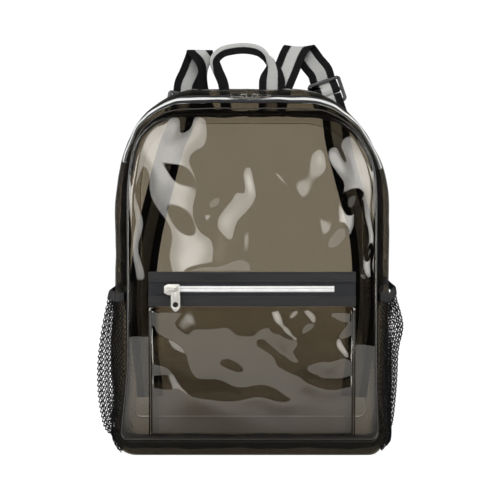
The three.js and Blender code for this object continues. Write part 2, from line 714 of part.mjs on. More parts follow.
// Front pocket.
const bandTopFrom = POCKET_TOP - BAND_HEIGHT;
const tapeFrom = bandTopFrom - POCKET_TAPE_HEIGHT;
const bandLowFrom = tapeFrom - BAND_HEIGHT;
const coilMiddle = (bandTopFrom + tapeFrom) / 2;
const coilFrom = coilMiddle - POCKET_COIL_HEIGHT / 2;
const coilTo = coilMiddle + POCKET_COIL_HEIGHT / 2;
const tapeStand = POCKET_STAND - CLOTH - GAP;
const pocketTop = bandLowFrom - GAP;
const pocketFace = [-POCKET_HALF, POCKET_HALF, POCKET_BOTTOM, pocketTop];
place('pocket_panel', patch(...pocketFace, POCKET_STAND, PVC, 14, 10, pocketLift), smokePvc);
for (const [hand, sign] of [['left', -1], ['right', 1]]) {
  const inner = sign * (POCKET_HALF - HEM_WIDTH);
  const outer = sign * POCKET_HALF;
  place(`pocket_hem_${hand}`, patch(inner, outer, POCKET_BOTTOM, pocketTop, GAP, PVC, 1, 10), smokePvc);
}
const fullWidth = (from, to, stand) => patch(-POCKET_HALF, POCKET_HALF, from, to, stand, CLOTH, 14, 1);
place('pocket_band_upper', fullWidth(bandTopFrom, POCKET_TOP, POCKET_STAND), blackCloth);
place('pocket_band_lower', fullWidth(bandLowFrom, tapeFrom, POCKET_STAND), blackCloth);
place('pocket_zip_tape', fullWidth(tapeFrom - TAPE_LAP, bandTopFrom + TAPE_LAP, tapeStand), blackCloth);
place('pocket_zip_coil', patch(...POCKET_COIL_ENDS, coilFrom, coilTo, POCKET_STAND, PVC, 12, 2), whiteCoil);
const pocketSeat = new THREE.Group();
const sliderReach = POCKET_SLIDER_X + SLIDERS.pocket.length / 2;
const sliderY = Math.min(frontY(POCKET_SLIDER_X, coilMiddle), frontY(sliderReach, coilMiddle));
pocketSeat.position.set(POCKET_SLIDER_X, sliderY - POCKET_STAND - PVC - 2 * GAP, coilMiddle);
pocketSeat.rotation.x = Math.PI / 2;
bag.add(pocketSeat);
place('pocket_slider', slider(SLIDERS.pocket), silver, pocketSeat);
const hanging = place('pocket_pull', pocketPull(PULLS.pocket), silver, pocketSeat);
hanging.position.x = SLIDERS.pocket.crownSpan / 2 - CROWN_BAR / 2;
hanging.position.z = PLATE + PIVOT_CLEAR;
hanging.rotation.z = -Math.PI / 2;

// Side pockets.
for (const hand of ['left', 'right']) {
  place(`mesh_pocket_${hand}`, netPocket(hand), blackNet);
  place(`mesh_binding_${hand}`, netBinding(hand), blackCloth);
}

// Webbing and adjusters.
place('top_handle', ribbon(HANDLE, 40, 2), stripedWebbing);
for (const hand of ['left', 'right']) {
  const spot = ADJUSTERS[hand];
  const upper = [...UPPER_STRAPS[hand], ...barLoop(spot, 1)];
  const lower = [...LOWER_STRAPS[hand].toReversed(), ...barLoop(spot, -1)];
  place(`strap_upper_${hand}`, ribbon(upper, STRAP_STEPS * (upper.length - 1)), stripedWebbing);
  place(`strap_lower_${hand}`, ribbon(lower, STRAP_STEPS * (lower.length - 1)), stripedWebbing);
  const frame = place(`adjuster_${hand}`, adjuster(), blackPlastic);
  frame.position.set(spot.x, spot.y, spot.z);
  frame.rotation.y = radians(spot.lean);
}

// The origin is the middle of the whole object's footprint, on the surface it stands on.
const extent = new THREE.Box3().setFromObject(bag);
const centre = extent.getCenter(new THREE.Vector3());
bag.position.set(-centre.x, -centre.y, -extent.min.z);

const backpack = new THREE.Group();
backpack.add(bag);

export default backpack;
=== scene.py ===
import bmesh
import bpy
import numpy as np
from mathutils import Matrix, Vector


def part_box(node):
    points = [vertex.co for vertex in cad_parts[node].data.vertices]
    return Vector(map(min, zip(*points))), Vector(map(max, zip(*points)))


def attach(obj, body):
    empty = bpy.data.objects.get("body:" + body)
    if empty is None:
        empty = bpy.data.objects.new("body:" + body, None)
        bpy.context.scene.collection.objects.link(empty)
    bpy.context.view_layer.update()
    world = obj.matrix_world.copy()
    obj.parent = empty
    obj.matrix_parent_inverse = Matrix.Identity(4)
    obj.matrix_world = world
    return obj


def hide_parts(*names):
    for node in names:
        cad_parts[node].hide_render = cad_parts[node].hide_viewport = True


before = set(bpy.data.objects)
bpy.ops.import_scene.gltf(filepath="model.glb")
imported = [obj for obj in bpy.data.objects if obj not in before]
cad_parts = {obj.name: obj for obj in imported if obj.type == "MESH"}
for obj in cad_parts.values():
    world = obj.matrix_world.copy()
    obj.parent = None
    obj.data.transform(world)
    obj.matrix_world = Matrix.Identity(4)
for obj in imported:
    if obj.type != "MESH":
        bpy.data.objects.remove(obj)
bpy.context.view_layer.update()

# Shapes are worked out in millimetres about the middle of the base, and the frame says
# where that point is.
baseLow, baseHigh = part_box("bottom_panel")
baseMiddle = np.array([(baseLow.x + baseHigh.x) / 2, (baseLow.y + baseHigh.y) / 2, baseLow.z])
sheetGap = 0.35     # between neighbouring sheets


def mix(a, b, t):
    return a + (b - a) * t


def ease(t):        # 0 to 1 with level ends
    t = np.clip(t, 0, 1)
    return t * t * (3 - 2 * t)


def unit(v):
    return v / np.maximum(np.linalg.norm(v, axis=-1, keepdims=True), 1e-9)


def gridUv(columns, rows):      # two arrays (columns, rows) running from 0 to 1
    return np.meshgrid(np.linspace(0, 1, columns), np.linspace(0, 1, rows), indexing="ij")


def table(names, rows):         # a dictionary for each row of values
    return [dict(zip(names.split(), row)) for row in rows]


# Makes a mesh a smooth piece that rides on a body, in place of the CAD nodes it stands for.
# Its look is a material with its slot; the slot is not used.
def linkPiece(name, look, stands, mesh, body):
    material, slot = look
    mesh.polygons.foreach_set("use_smooth", np.ones(len(mesh.polygons), bool))
    mesh.materials.append(material)
    piece = bpy.data.objects.new(name, mesh)
    bpy.context.scene.collection.objects.link(piece)
    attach(piece, body)
    if stands:
        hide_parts(*stands)
    return piece


# A piece of the bag from points in millimetres and quads or triangles; uv are millimetres
# across and along it.
def addPiece(name, look, stands, points, faces, uv=None):
    mesh = bpy.data.meshes.new(name)
    verts = points / 1000 + baseMiddle
    mesh.vertices.add(len(verts))
    mesh.vertices.foreach_set("co", verts.astype(np.float32).ravel())
    mesh.loops.add(faces.size)
    mesh.loops.foreach_set("vertex_index", faces.astype(np.int32).ravel())
    mesh.polygons.add(len(faces))
    mesh.polygons.foreach_set("loop_start", np.arange(0, faces.size, faces.shape[1], dtype=np.int32))
    mesh.update(calc_edges=True)
    if uv is not None:
        layer = mesh.uv_layers.new(name="weave")
        layer.data.foreach_set("uv", uv[faces.ravel()].astype(np.float32).ravel())
    mesh.validate()
    linkPiece(name, look, stands, mesh, "bag")


# Quads of a grid whose points run [column, row]; its rows may close on themselves.
def gridFaces(columns, rows, closeRows=False, start=0):
    i, j = np.meshgrid(np.arange(columns - 1), np.arange(rows if closeRows else rows - 1), indexing="ij")
    nextJ = (j + 1) % rows
    quad = [i * rows + j, (i + 1) * rows + j, (i + 1) * rows + nextJ, i * rows + nextJ]
    return np.stack(quad, -1).reshape(-1, 4) + start


# Faces turned round if the closed shape they make has a negative volume.
def facingOut(points, faces):
    a, b, c, d = (points[faces[:, k]] for k in (0, 1, 2, -1))
    volume = np.sum(a * np.cross(b, c)) + np.sum(a * np.cross(c, d))
    return faces[:, ::-1] if volume < 0 else faces


# A closed wall from its outer and inner grids: both faces, and a rim round the edge. The
# grid's uv serve both faces.
def addWall(name, look, stands, outer, inner, uv=None):
    columns, rows = outer.shape[:2]
    count = columns * rows
    index = np.arange(count).reshape(columns, rows)
    rim = np.concatenate([index[:, 0], index[-1, 1:], index[-2::-1, -1], index[0, -2:0:-1]])
    after = np.roll(rim, -1)
    faces = np.concatenate([
        gridFaces(columns, rows),
        gridFaces(columns, rows, start=count)[:, ::-1],
        np.stack([after, rim, rim + count, after + count], -1),
    ])
    points = np.concatenate([outer.reshape(-1, 3), inner.reshape(-1, 3)])
    if uv is not None:
        uv = np.concatenate([uv.reshape(-1, 2)] * 2)
    addPiece(name, look, stands, points, facingOut(points, faces), uv)


# Tubes along many paths at once: paths [path, step, xyz] carry a round profile of a given
# half width, with closed ends; its corners are counted from across the up direction.
def tubesShape(paths, half, sides, up):
    count, steps = paths.shape[:2]
    along = unit(np.gradient(paths, axis=1))
    across = unit(np.cross(along, np.broadcast_to(np.asarray(up, float), paths.shape)))
    rise = np.cross(across, along)
    turn = np.linspace(0, 2 * np.pi, sides, endpoint=False)[:, None]
    profile = half * np.cos(turn) * across[:, :, None] + half * np.sin(turn) * rise[:, :, None]
    points = (paths[:, :, None] + profile).reshape(count, steps * sides, 3)
    points = np.concatenate([points, paths[:, [0, -1]]], 1)
    body = gridFaces(steps, sides, closeRows=True)
    k = np.arange(sides)
    nextK = (k + 1) % sides
    last, cap = (steps - 1) * sides, steps * sides
    tris = np.concatenate([
        body[:, [0, 1, 2]], body[:, [0, 2, 3]],
        np.stack([k, nextK, 0 * k + cap], -1),
        np.stack([last + nextK, last + k, 0 * k + cap + 1], -1),
    ])
    tris = facingOut(points[0], tris)
    every = tris[None] + (np.arange(count) * (cap + 2))[:, None, None]
    return points.reshape(-1, 3), every.reshape(-1, 3)


def joinShapes(shapes):         # several (points, faces) as one
    starts = np.cumsum([0] + [len(p) for p, _ in shapes[:-1]])
    return (np.concatenate([p for p, _ in shapes]),
            np.concatenate([f + s for (_, f), s in zip(shapes, starts)]))


# Centripetal Catmull-Rom curve through rows of points, with steps samples to each span.
def throughPoints(rows, steps):
    p = np.concatenate([2 * rows[:1] - rows[1:2], rows, 2 * rows[-1:] - rows[-2:-1]])
    gap = np.maximum(np.linalg.norm(np.diff(p[:, :3], axis=0), axis=1), 1e-6) ** 0.5
    t = np.concatenate([[0], np.cumsum(gap)])
    spans = len(p) - 3
    k = np.append(np.repeat(np.arange(spans), steps), spans - 1)
    s = np.append(np.tile(np.arange(steps) / steps, spans), 1.0)
    at = mix(t[k + 1], t[k + 2], s)[:, None]
    t0, t1, t2, t3 = (t[k + n][:, None] for n in range(4))
    p0, p1, p2, p3 = (p[k + n] for n in range(4))
    a1 = mix(p0, p1, (at - t0) / (t1 - t0))
    a2 = mix(p1, p2, (at - t1) / (t2 - t1))
    a3 = mix(p2, p3, (at - t2) / (t3 - t2))
    b1 = mix(a1, a2, (at - t0) / (t2 - t0))
    b2 = mix(a2, a3, (at - t1) / (t3 - t1))
    return mix(b1, b2, (at - t1) / (t2 - t1))


# Adds a node, with its settings and the values or links of its inputs, which go by name or,
# as i0 and so on, by place.
def addNode(tree, kind, settings=None, **inputs):
    made = tree.nodes.new(kind)
    for key, value in (settings or {}).items():
        setattr(made, key, value)
    for key, value in inputs.items():
        socket = made.inputs[int(key[1:]) if key[1:].isdigit() else key.replace("_", " ")]
        if isinstance(value, bpy.types.NodeSocket):
            tree.links.new(value, socket)
        else:
            socket.default_value = value
    return made


def mathNode(tree, operation, a, b=0.0, c=0.0):
    return addNode(tree, "ShaderNodeMath", {"operation": operation}, i0=a, i1=b, i2=c).outputs[0]


def stepNode(tree, value, low, high, fromValue=0.0, toValue=1.0):
    return addNode(tree, "ShaderNodeMapRange", {"interpolation_type": "SMOOTHSTEP"},
                   i0=value, i1=low, i2=high, i3=fromValue, i4=toValue).outputs[0]


def mixValues(tree, factor, a, b):
    return addNode(tree, "ShaderNodeMix", {"data_type": "FLOAT"}, i0=factor, i2=a, i3=b).outputs[0]


def mixColours(tree, factor, a, b):
    return addNode(tree, "ShaderNodeMix", {"data_type": "RGBA"}, i0=factor, i6=a, i7=b).outputs[2]


def bumpNode(tree, height, strength, distance):
    return addNode(tree, "ShaderNodeBump", Strength=strength, Distance=distance, Height=height).outputs[0]


def newMaterial(name):
    material = bpy.data.materials.new(name)
    material.use_nodes = True
    material.node_tree.nodes.clear()
    return material, material.node_tree


def showShader(tree, shader):
    addNode(tree, "ShaderNodeOutputMaterial", Surface=shader.outputs[0])


def principled(tree, **inputs):
    showShader(tree, addNode(tree, "ShaderNodeBsdfPrincipled", **inputs))


# A group, with the plain values of its inputs and the names of its outputs.
def nodeGroup(name, inputs, outputs):
    tree = bpy.data.node_groups.new(name, "ShaderNodeTree")
    for label, value in inputs.items():
        tree.interface.new_socket(label, in_out="INPUT", socket_type="NodeSocketFloat").default_value = value
    for label in outputs:
        tree.interface.new_socket(label, in_out="OUTPUT", socket_type="NodeSocketFloat")
    return tree, tree.nodes.new("NodeGroupInput").outputs, tree.nodes.new("NodeGroupOutput").inputs


def placeGroup(tree, group, **inputs):
    return addNode(tree, "ShaderNodeGroup", {"node_tree": group}, **inputs).outputs


weaveLook = {
    "wanderScale": 0.35, "fuzzScale": 3.5,      # of the noise, to a millimetre
    "ribHeight": 0.3, "crossHeight": 0.35,      # of the ribs alone, and where yarns cross them
    "paintedGapShade": 0.6, "fuzzShade": 0.72,         # the darkest of the painted shade in the gaps and of the random fuzz
}


# Woven yarns on the piece's own millimetres: ribs across the band at one pitch and finer
# yarns along it at another. Height is the raised yarn, Shade a painted shade in its gaps
# times a random tone of fuzz, and Serration a small sideways shift, alternating from rib
# to rib, for the edge of a woven stripe.
def makeWeaveGroup():
    tree, given, out = nodeGroup("yarn weave", {"Rib Pitch": 1.0, "Yarn Pitch": 0.8, "Unevenness": 0.3},
                                 ["Height", "Shade", "Serration", "Across"])
    place = addNode(tree, "ShaderNodeUVMap", {"uv_map": "weave"}).outputs[0]
    across, along, _ = addNode(tree, "ShaderNodeSeparateXYZ", i0=place).outputs

    def noise(scale, detail):
        return addNode(tree, "ShaderNodeTexNoise", {"noise_dimensions": "2D"}, Scale=scale, Detail=detail,
                       Vector=place).outputs[0]

    slow = mathNode(tree, "SUBTRACT", noise(weaveLook["wanderScale"], 2.0), 0.5)
    wander = mathNode(tree, "MULTIPLY", slow, given["Unevenness"])

    def wave(distance, pitch, turn):
        count = mathNode(tree, "ADD", mathNode(tree, "DIVIDE", distance, pitch), wander)
        return mathNode(tree, "SINE", mathNode(tree, "MULTIPLY", count, turn))

    ribs = wave(along, given["Rib Pitch"], 2 * np.pi)
    yarns = wave(across, given["Yarn Pitch"], np.pi)
    ribbed = mathNode(tree, "MULTIPLY_ADD", ribs, weaveLook["ribHeight"], 0.5)
    crossed = mathNode(tree, "MULTIPLY", ribs, yarns)
    height = mathNode(tree, "MULTIPLY_ADD", crossed, weaveLook["crossHeight"], ribbed)
    fuzz = noise(weaveLook["fuzzScale"], 3.0)
    # Painted shade: darker where the yarn lies low, times a random tone of fuzz.
    shade = mathNode(tree, "MULTIPLY", mathNode(tree, "MULTIPLY_ADD", height, 0.5, weaveLook["paintedGapShade"]),
                     mathNode(tree, "MULTIPLY_ADD", fuzz, 0.5, weaveLook["fuzzShade"]))
    for label, value in (("Height", height), ("Shade", shade), ("Serration", ribs), ("Across", across)):
        tree.links.new(value, out[label])
    return tree


# Light marks of use, on Object metres: a soft mottle between two values, and its bump.
def makeMottleGroup():
    tree, given, out = nodeGroup("soft mottle", {"Scale": 60.0, "Low": 0.3, "High": 0.5}, ["Value", "Bump"])
    place = addNode(tree, "ShaderNodeTexCoord").outputs["Object"]
    noise = addNode(tree, "ShaderNodeTexNoise", Scale=given["Scale"], Detail=4.0, Vector=place).outputs[0]
    span = mathNode(tree, "SUBTRACT", given["High"], given["Low"])
    tree.links.new(mathNode(tree, "MULTIPLY_ADD", noise, span, given["Low"]), out["Value"])
    tree.links.new(noise, out["Bump"])
    return tree


weaveGroup = makeWeaveGroup()
mottleGroup = makeMottleGroup()

pvcLook = {
    "tint": (0.672, 0.644, 0.592, 1),   # passed by one face of a sheet, seen square on
    "leastCosine": 0.75,                # limits the path through a sheet seen edge on
    "mirrorSquareOn": 0.044,
    "roughness": 0.012,
    "shade": 3.2,                       # how much deeper its tint is in the shadow it casts
    "gloss": (0.98, 0.98, 0.97, 1),
}


# Smoke-tinted clear sheet: each face passes its tint, deeper the flatter the ray lies along
# it and in its shadow, and mirrors by Schlick's rule, alike for both faces of a thin wall.
def makeSmokePvc():
    material, tree = newMaterial("smoke_pvc")
    facing = addNode(tree, "ShaderNodeLayerWeight", Blend=0.5).outputs["Facing"]
    cosine = mathNode(tree, "MAXIMUM", mathNode(tree, "SUBTRACT", 1.0, facing), pvcLook["leastCosine"])
    rays = addNode(tree, "ShaderNodeLightPath")
    depth = mathNode(tree, "MULTIPLY_ADD", rays.outputs["Is Shadow Ray"], pvcLook["shade"] - 1, 1.0)
    passed = addNode(tree, "ShaderNodeGamma", Color=pvcLook["tint"],
                     Gamma=mathNode(tree, "DIVIDE", depth, cosine))
    clear = addNode(tree, "ShaderNodeBsdfTransparent", Color=passed.outputs[0])
    gloss = addNode(tree, "ShaderNodeBsdfAnisotropic", Color=pvcLook["gloss"],
                    Roughness=pvcLook["roughness"])
    squareOn = pvcLook["mirrorSquareOn"]
    mirror = mathNode(tree, "MULTIPLY_ADD", mathNode(tree, "POWER", facing, 5.0), 1 - squareOn, squareOn)
    showShader(tree, addNode(tree, "ShaderNodeMixShader", i0=mirror, i1=clear.outputs[0],
                             i2=gloss.outputs[0]))
    return material


def shadeOf(colour, share):
    return tuple(share * c for c in colour[:3]) + (1,)


# Cloth with ribs: colour, with painted shade in the gaps between its yarns, sheen and a bump of the weave's
# height.
def makeRibbedCloth(name, colour, ribPitch, yarnPitch, depth, roughness):
    material, tree = newMaterial(name)
    weave = placeGroup(tree, weaveGroup, Rib_Pitch=ribPitch, Yarn_Pitch=yarnPitch)
    # The weave's gaps take painted shade, down to 0.45 of the colour.
    shaded = mixColours(tree, weave["Shade"], shadeOf(colour, 0.45), colour)
    principled(tree, Base_Color=shaded, Roughness=roughness, Sheen_Weight=0.03, Sheen_Roughness=0.5,
               Normal=bumpNode(tree, weave["Height"], 0.8, depth))
    return material


webbingLook = {
    "black": (0.0075, 0.0075, 0.008, 1), "blackShadedGap": (0.004, 0.004, 0.004, 1),
    "grey": (0.56, 0.56, 0.545, 1), "greyShadedGap": (0.3, 0.3, 0.29, 1),
    "greyHalf": 6.6,        # half the grey stripe's width, mm
    "serration": 0.45,      # mm that the stripe's edge steps in and out
    "ribPitch": 2.1, "yarnPitch": 1.05, "unevenness": 0.5, "depth": 0.0006,
}


# Striped webbing: a grey stripe in the middle of black, on both faces, with woven edges and painted shade in
# the gaps between its yarns.
def makeWebbing():
    material, tree = newMaterial("striped_webbing")
    weave = placeGroup(tree, weaveGroup, Rib_Pitch=webbingLook["ribPitch"],
                       Yarn_Pitch=webbingLook["yarnPitch"], Unevenness=webbingLook["unevenness"])
    reach = mathNode(tree, "MULTIPLY_ADD", weave["Serration"], webbingLook["serration"],
                     mathNode(tree, "ABSOLUTE", weave["Across"]))
    inStripe = mathNode(tree, "LESS_THAN", reach, webbingLook["greyHalf"])
    plain = mixColours(tree, inStripe, webbingLook["black"], webbingLook["grey"])
    # The colours the weave's gaps darken to: painted shade, mixed with the random tone of its fuzz.
    dark = mixColours(tree, inStripe, webbingLook["blackShadedGap"], webbingLook["greyShadedGap"])
    principled(tree, Base_Color=mixColours(tree, weave["Shade"], dark, plain), Roughness=0.72,
               Normal=bumpNode(tree, weave["Height"], 0.9, webbingLook["depth"]), Specular_IOR_Level=0.08)
    return material


def makeMetal(name, colour, low, high):
    material, tree = newMaterial(name)
    mottle = placeGroup(tree, mottleGroup, Scale=420.0, Low=low, High=high)
    principled(tree, Base_Color=colour, Metallic=1.0, Roughness=mottle["Value"],
               Normal=bumpNode(tree, mottle["Bump"], 0.25, 0.0001))
    return material


# Moulded or spun matter with a fine mottle: plastic, net yarn, coil and thread.
def makeSolid(name, colour, scale, low, high, specular):
    material, tree = newMaterial(name)
    mottle = placeGroup(tree, mottleGroup, Scale=scale, Low=low, High=high)
    tone = placeGroup(tree, mottleGroup, Scale=scale / 6, Low=0.0, High=1.0)
    principled(tree, Base_Color=mixColours(tree, tone["Value"], shadeOf(colour, 0.7), colour),
               Roughness=mottle["Value"], Normal=bumpNode(tree, mottle["Bump"], 0.4, 0.0001),
               Specular_IOR_Level=specular)
    return material


# Looks: each material with its slot.
smokePvc = makeSmokePvc(), "smoke_pvc"
stripedWebbing = makeWebbing(), "striped_webbing"
silverMetal = makeMetal("silver_metal", (0.45, 0.437, 0.4, 1), 0.34, 0.46), "silver_metal"
cloths = table("name colour ribPitch yarnPitch depth roughness", [
    ("black_grosgrain", (0.0125, 0.0125, 0.0125, 1), 1.1, 0.8, 0.0003, 0.85),
    ("grey_binding", (0.007, 0.007, 0.007, 1), 1.0, 0.8, 0.0003, 0.85),
    ("black_zip_tape", (0.012, 0.0125, 0.014, 1), 0.7, 0.7, 0.0002, 0.9),
])
blackTape, greyBinding, zipTape = ((makeRibbedCloth(**row), "black_cloth") for row in cloths)
solids = table("name colour scale low high specular", [
    ("black_net_yarn", (0.006, 0.006, 0.0065, 1), 900, 0.5, 0.75, 0.1),
    ("white_coil", (0.92, 0.92, 0.905, 1), 500, 0.3, 0.45, 0.5),
    ("black_plastic", (0.018, 0.018, 0.0185, 1), 1500, 0.32, 0.5, 0.5),
    ("dark_bead", (0.05, 0.047, 0.043, 1), 300, 0.16, 0.3, 0.5),
    ("black_thread", (0.006, 0.006, 0.006, 1), 1800, 0.5, 0.7, 0.5),
    # Painted highlight: the hem stitches are black thread, and this grey colour stands in for the glints
    # along them.
    ("pale_thread", (0.22, 0.21, 0.19, 1), 1800, 0.4, 0.6, 0.5),
])
solidSlots = ("black_net", "white_coil", "black_plastic", "smoke_pvc", "black_cloth", "black_cloth")
netYarn, coilWhite, blackPlastic, beadPvc, blackThread, greyThreadPaintedGlint = (
    (makeSolid(**row), slot) for row, slot in zip(solids, solidSlots))
print("materials ready")


# The bag's form, in millimetres: an outline at mid depth, and seams that lie inside it.
shell = {
    "height": 413, "halfWidth": 158, "halfDepth": 70,
    "seamInset": 22, "topDrop": 1.6,            # how far in the seams lie, and lower at the top
    "shoulderZ": 270, "crownHalf": 54, "shoulderSquaring": 0.85,
    "corner": 28, "cornerTightening": 0.95,
    "flatShare": 0.74, "flatPower": 1.7,        # the base is level over its middle
    "flareLeft": 10, "flareRight": 3, "flareTop": 120,      # how far the seams spread at their foot
    "crownLean": -5, "leanFrom": 310, "leanTo": 385,
    "pvc": 1.2,
}
bottomRun = shell["halfWidth"] - shell["corner"]
cornerRun = np.pi / 2 * shell["corner"]
sideStart = bottomRun + cornerRun
shoulderStart = sideStart + shell["shoulderZ"] - shell["corner"]
shoulderSpan = np.hypot(shell["halfWidth"] - shell["crownHalf"], shell["height"] - shell["shoulderZ"])
shoulderRun = np.pi / 2 * shoulderSpan / np.sqrt(2)
crownStart = shoulderStart + shoulderRun
halfRun = crownStart + shell["crownHalf"]
seamTop = shell["height"] - shell["topDrop"] * shell["seamInset"]
seamDepth = shell["halfDepth"] - shell["pvc"] - sheetGap

# Dents of the gusset: along the outline from the bottom centre, right is positive.
gussetDents = table("along depth long broad sink", [
    (487, -30, 9, 34, 1), (-498, -30, 9, 34, 1), (150, -48, 8, 20, 5),
    (-158, -40, 10, 24, 3), (330, 20, 60, 22, 4), (-340, 10, 70, 24, 4),
])
# Where it bulges into a net pocket, the net keeps its own form.
gussetBulges = table("along depth long broad sink", [(-258, 0, 56, 36, -7)])
# Waves of the gusset sheet: wave length along, its drift with depth, phase and height.
gussetWaves = table("length drift phase height", [
    (61, 0.35, 0.4, 0.55), (37, -0.6, 2.1, 0.32), (23, 0.9, 4.0, 0.16),
])


def leanAt(z):
    return shell["crownLean"] * ease((z - shell["leanFrom"]) / (shell["leanTo"] - shell["leanFrom"]))


def signedRun(along):           # beyond the crown's middle it counts as the left side
    return np.where(along > halfRun, along - 2 * halfRun, along)


# A point of the outline: along runs from the bottom centre up the right side (positive) or
# the left (negative): a straight base, a round corner, a straight side, a quarter
# superellipse for the shoulder and a level crown. Inset moves the whole outline inwards, less
# so at the foot of the sides, where the seams spread.
def ring(along, inset, sink=0.0):
    along, inset, sink = np.broadcast_arrays(np.asarray(along, float), inset, sink)
    turned = signedRun(along)
    run = np.abs(turned)
    side = shell["halfWidth"] - inset - sink
    bottom = inset + sink
    top = shell["height"] - shell["topDrop"] * inset - sink
    radius = shell["corner"] - shell["cornerTightening"] * inset
    turn = np.clip((run - bottomRun) / shell["corner"], 0, np.pi / 2)
    climb = np.pi / 2 * np.clip((run - shoulderStart) / shoulderRun, 0, 1)
    power = 2 / (2 + shell["shoulderSquaring"] * np.maximum(inset, 0) / shell["seamInset"])
    crown = shell["crownHalf"]
    regions = [run < bottomRun, run < sideStart, run < shoulderStart, run < crownStart]
    x = np.select(regions, [
        (side - radius) * run / bottomRun, side - radius + radius * np.sin(turn), side,
        crown + (side - crown) * np.cos(climb) ** power,
    ], halfRun - run)
    z = np.select(regions, [
        bottom, bottom + radius * (1 - np.cos(turn)),
        mix(bottom + radius, shell["shoulderZ"], (run - sideStart) / (shoulderStart - sideStart)),
        shell["shoulderZ"] + (top - shell["shoulderZ"]) * np.sin(climb) ** power,
    ], top)
    spread = np.where(turned < 0, shell["flareLeft"], shell["flareRight"]) * ease(1 - z / shell["flareTop"])
    x = x + spread * np.clip(inset / shell["seamInset"], 0, 1) * x / shell["halfWidth"]
    return np.where(turned < 0, -x, x) + leanAt(z), z


# How far the gusset lies inside the outline: a round bulge, level at the base, with its dents.
def gussetInset(along, depth, dents):
    turned = signedRun(along)
    reach = np.abs(depth) / shell["halfDepth"]
    flat = np.maximum(0, (reach - shell["flatShare"]) / (1 - shell["flatShare"])) ** shell["flatPower"]
    lifted = ease((np.abs(turned) - bottomRun) / (2 * cornerRun))
    inset = shell["seamInset"] * mix(flat, reach ** 2, lifted)
    for dent in dents:
        p = (turned - dent["along"]) / dent["long"]
        q = (depth - dent["depth"]) / dent["broad"]
        inset = inset + (1 - reach ** 4) * dent["sink"] * np.exp(-p * p - q * q)
    return inset


rippleLook = {"least": 0.35, "seamTuck": 8, "from": 0.9, "run": 0.5}    # from and run in shares of the base


# The gusset sheet's small waves: a sum of sines that run along it and drift with depth,
# strongest towards the seams and still where it rests on its base.
def gussetRipple(along, depth):
    turned = signedRun(along)
    reach = np.abs(depth) / shell["halfDepth"]
    free = mix(rippleLook["least"], 1, reach ** 2) * (1 - reach ** rippleLook["seamTuck"])
    free = free * ease((np.abs(turned) / bottomRun - rippleLook["from"]) / rippleLook["run"])
    ripple = 0.0
    for wave in gussetWaves:
        phase = 2 * np.pi * (turned + wave["drift"] * depth) / wave["length"] + wave["phase"]
        ripple = ripple + wave["height"] * np.sin(phase)
    return free * ripple


# A point of the gusset: on the outline at that inset, raised outwards by rise.
def gussetPoint(along, depth, rise=0.0):
    along, depth = np.broadcast_arrays(np.asarray(along, float), np.asarray(depth, float))
    inset = gussetInset(along, depth, gussetDents + gussetBulges)
    x, z = ring(along, inset, -rise - gussetRipple(along, depth))
    return np.stack([x, depth, z], -1)


# Outer and inner grids of a stretch of the gusset, and its own millimetres as UV.
def gussetWall(start, end, front, back, columns, rows):
    u, v = gridUv(columns, rows)
    along, depth = mix(start, end, u), mix(front, back, v)
    return gussetPoint(along, depth), gussetPoint(along, depth, -shell["pvc"]), np.stack([depth, along], -1)


def alongAtShoulder(z):
    climb = np.arcsin((z - shell["shoulderZ"]) / (shell["height"] - shell["shoulderZ"]))
    return shoulderStart + shoulderRun * climb / (np.pi / 2)


zipLine = {
    "y": -45, "coilWidth": 4.4, "coilRise": 1.0, "tapeWidth": 4.5, "crownSink": 1.2, "sinkHalf": 110,
    "leftEnd": 326, "rightEnd": 318, "columns": 260, "tapeRows": 6, "coilRows": 13,
}
zipFrom = alongAtShoulder(zipLine["rightEnd"])
zipTo = 2 * halfRun - alongAtShoulder(zipLine["leftEnd"])
coilFront = zipLine["y"] - zipLine["coilWidth"] / 2
coilBack = zipLine["y"] + zipLine["coilWidth"] / 2
tapeFront = coilFront - sheetGap - zipLine["tapeWidth"]
tapeBack = coilBack + sheetGap + zipLine["tapeWidth"]


def addGusset():
    leftEnd = zipTo - 2 * halfRun
    runs = {            # ends along and in depth, columns and rows
        "bottom_panel": (-sideStart, sideStart, -seamDepth, seamDepth, 170, 60),
        "side_panel_right": (sideStart + sheetGap, zipFrom - sheetGap, -seamDepth, seamDepth, 150, 60),
        "side_panel_left": (leftEnd + sheetGap, -sideStart - sheetGap, -seamDepth, seamDepth, 150, 60),
        "top_strip_front": (zipFrom, zipTo, -seamDepth, tapeFront - sheetGap, zipLine["columns"], 12),
        "top_strip_back": (zipFrom, zipTo, tapeBack + sheetGap, seamDepth, zipLine["columns"], 50),
    }
    for node, run in runs.items():
        name = node.replace("_panel", "_sheet").replace("_strip", "_sheet")
        addWall(name, smokePvc, [node], *gussetWall(*run)[:2])


addGusset()
print("gusset sheets ready")


# Half width of the seam outline at a height.
def seamHalf(z):
    inset = shell["seamInset"]
    radius = shell["corner"] - shell["cornerTightening"] * inset
    side = shell["halfWidth"] - inset
    drop = np.clip((inset + radius - z) / radius, 0, 1)
    low = side - radius + radius * np.sqrt(1 - drop ** 2)
    power = 2 + shell["shoulderSquaring"]
    climb = np.clip((z - shell["shoulderZ"]) / (seamTop - shell["shoulderZ"]), 0, 1)
    high = shell["crownHalf"] + (side - shell["crownHalf"]) * (1 - climb ** power) ** (1 / power)
    return np.where(z > shell["shoulderZ"], high, low)


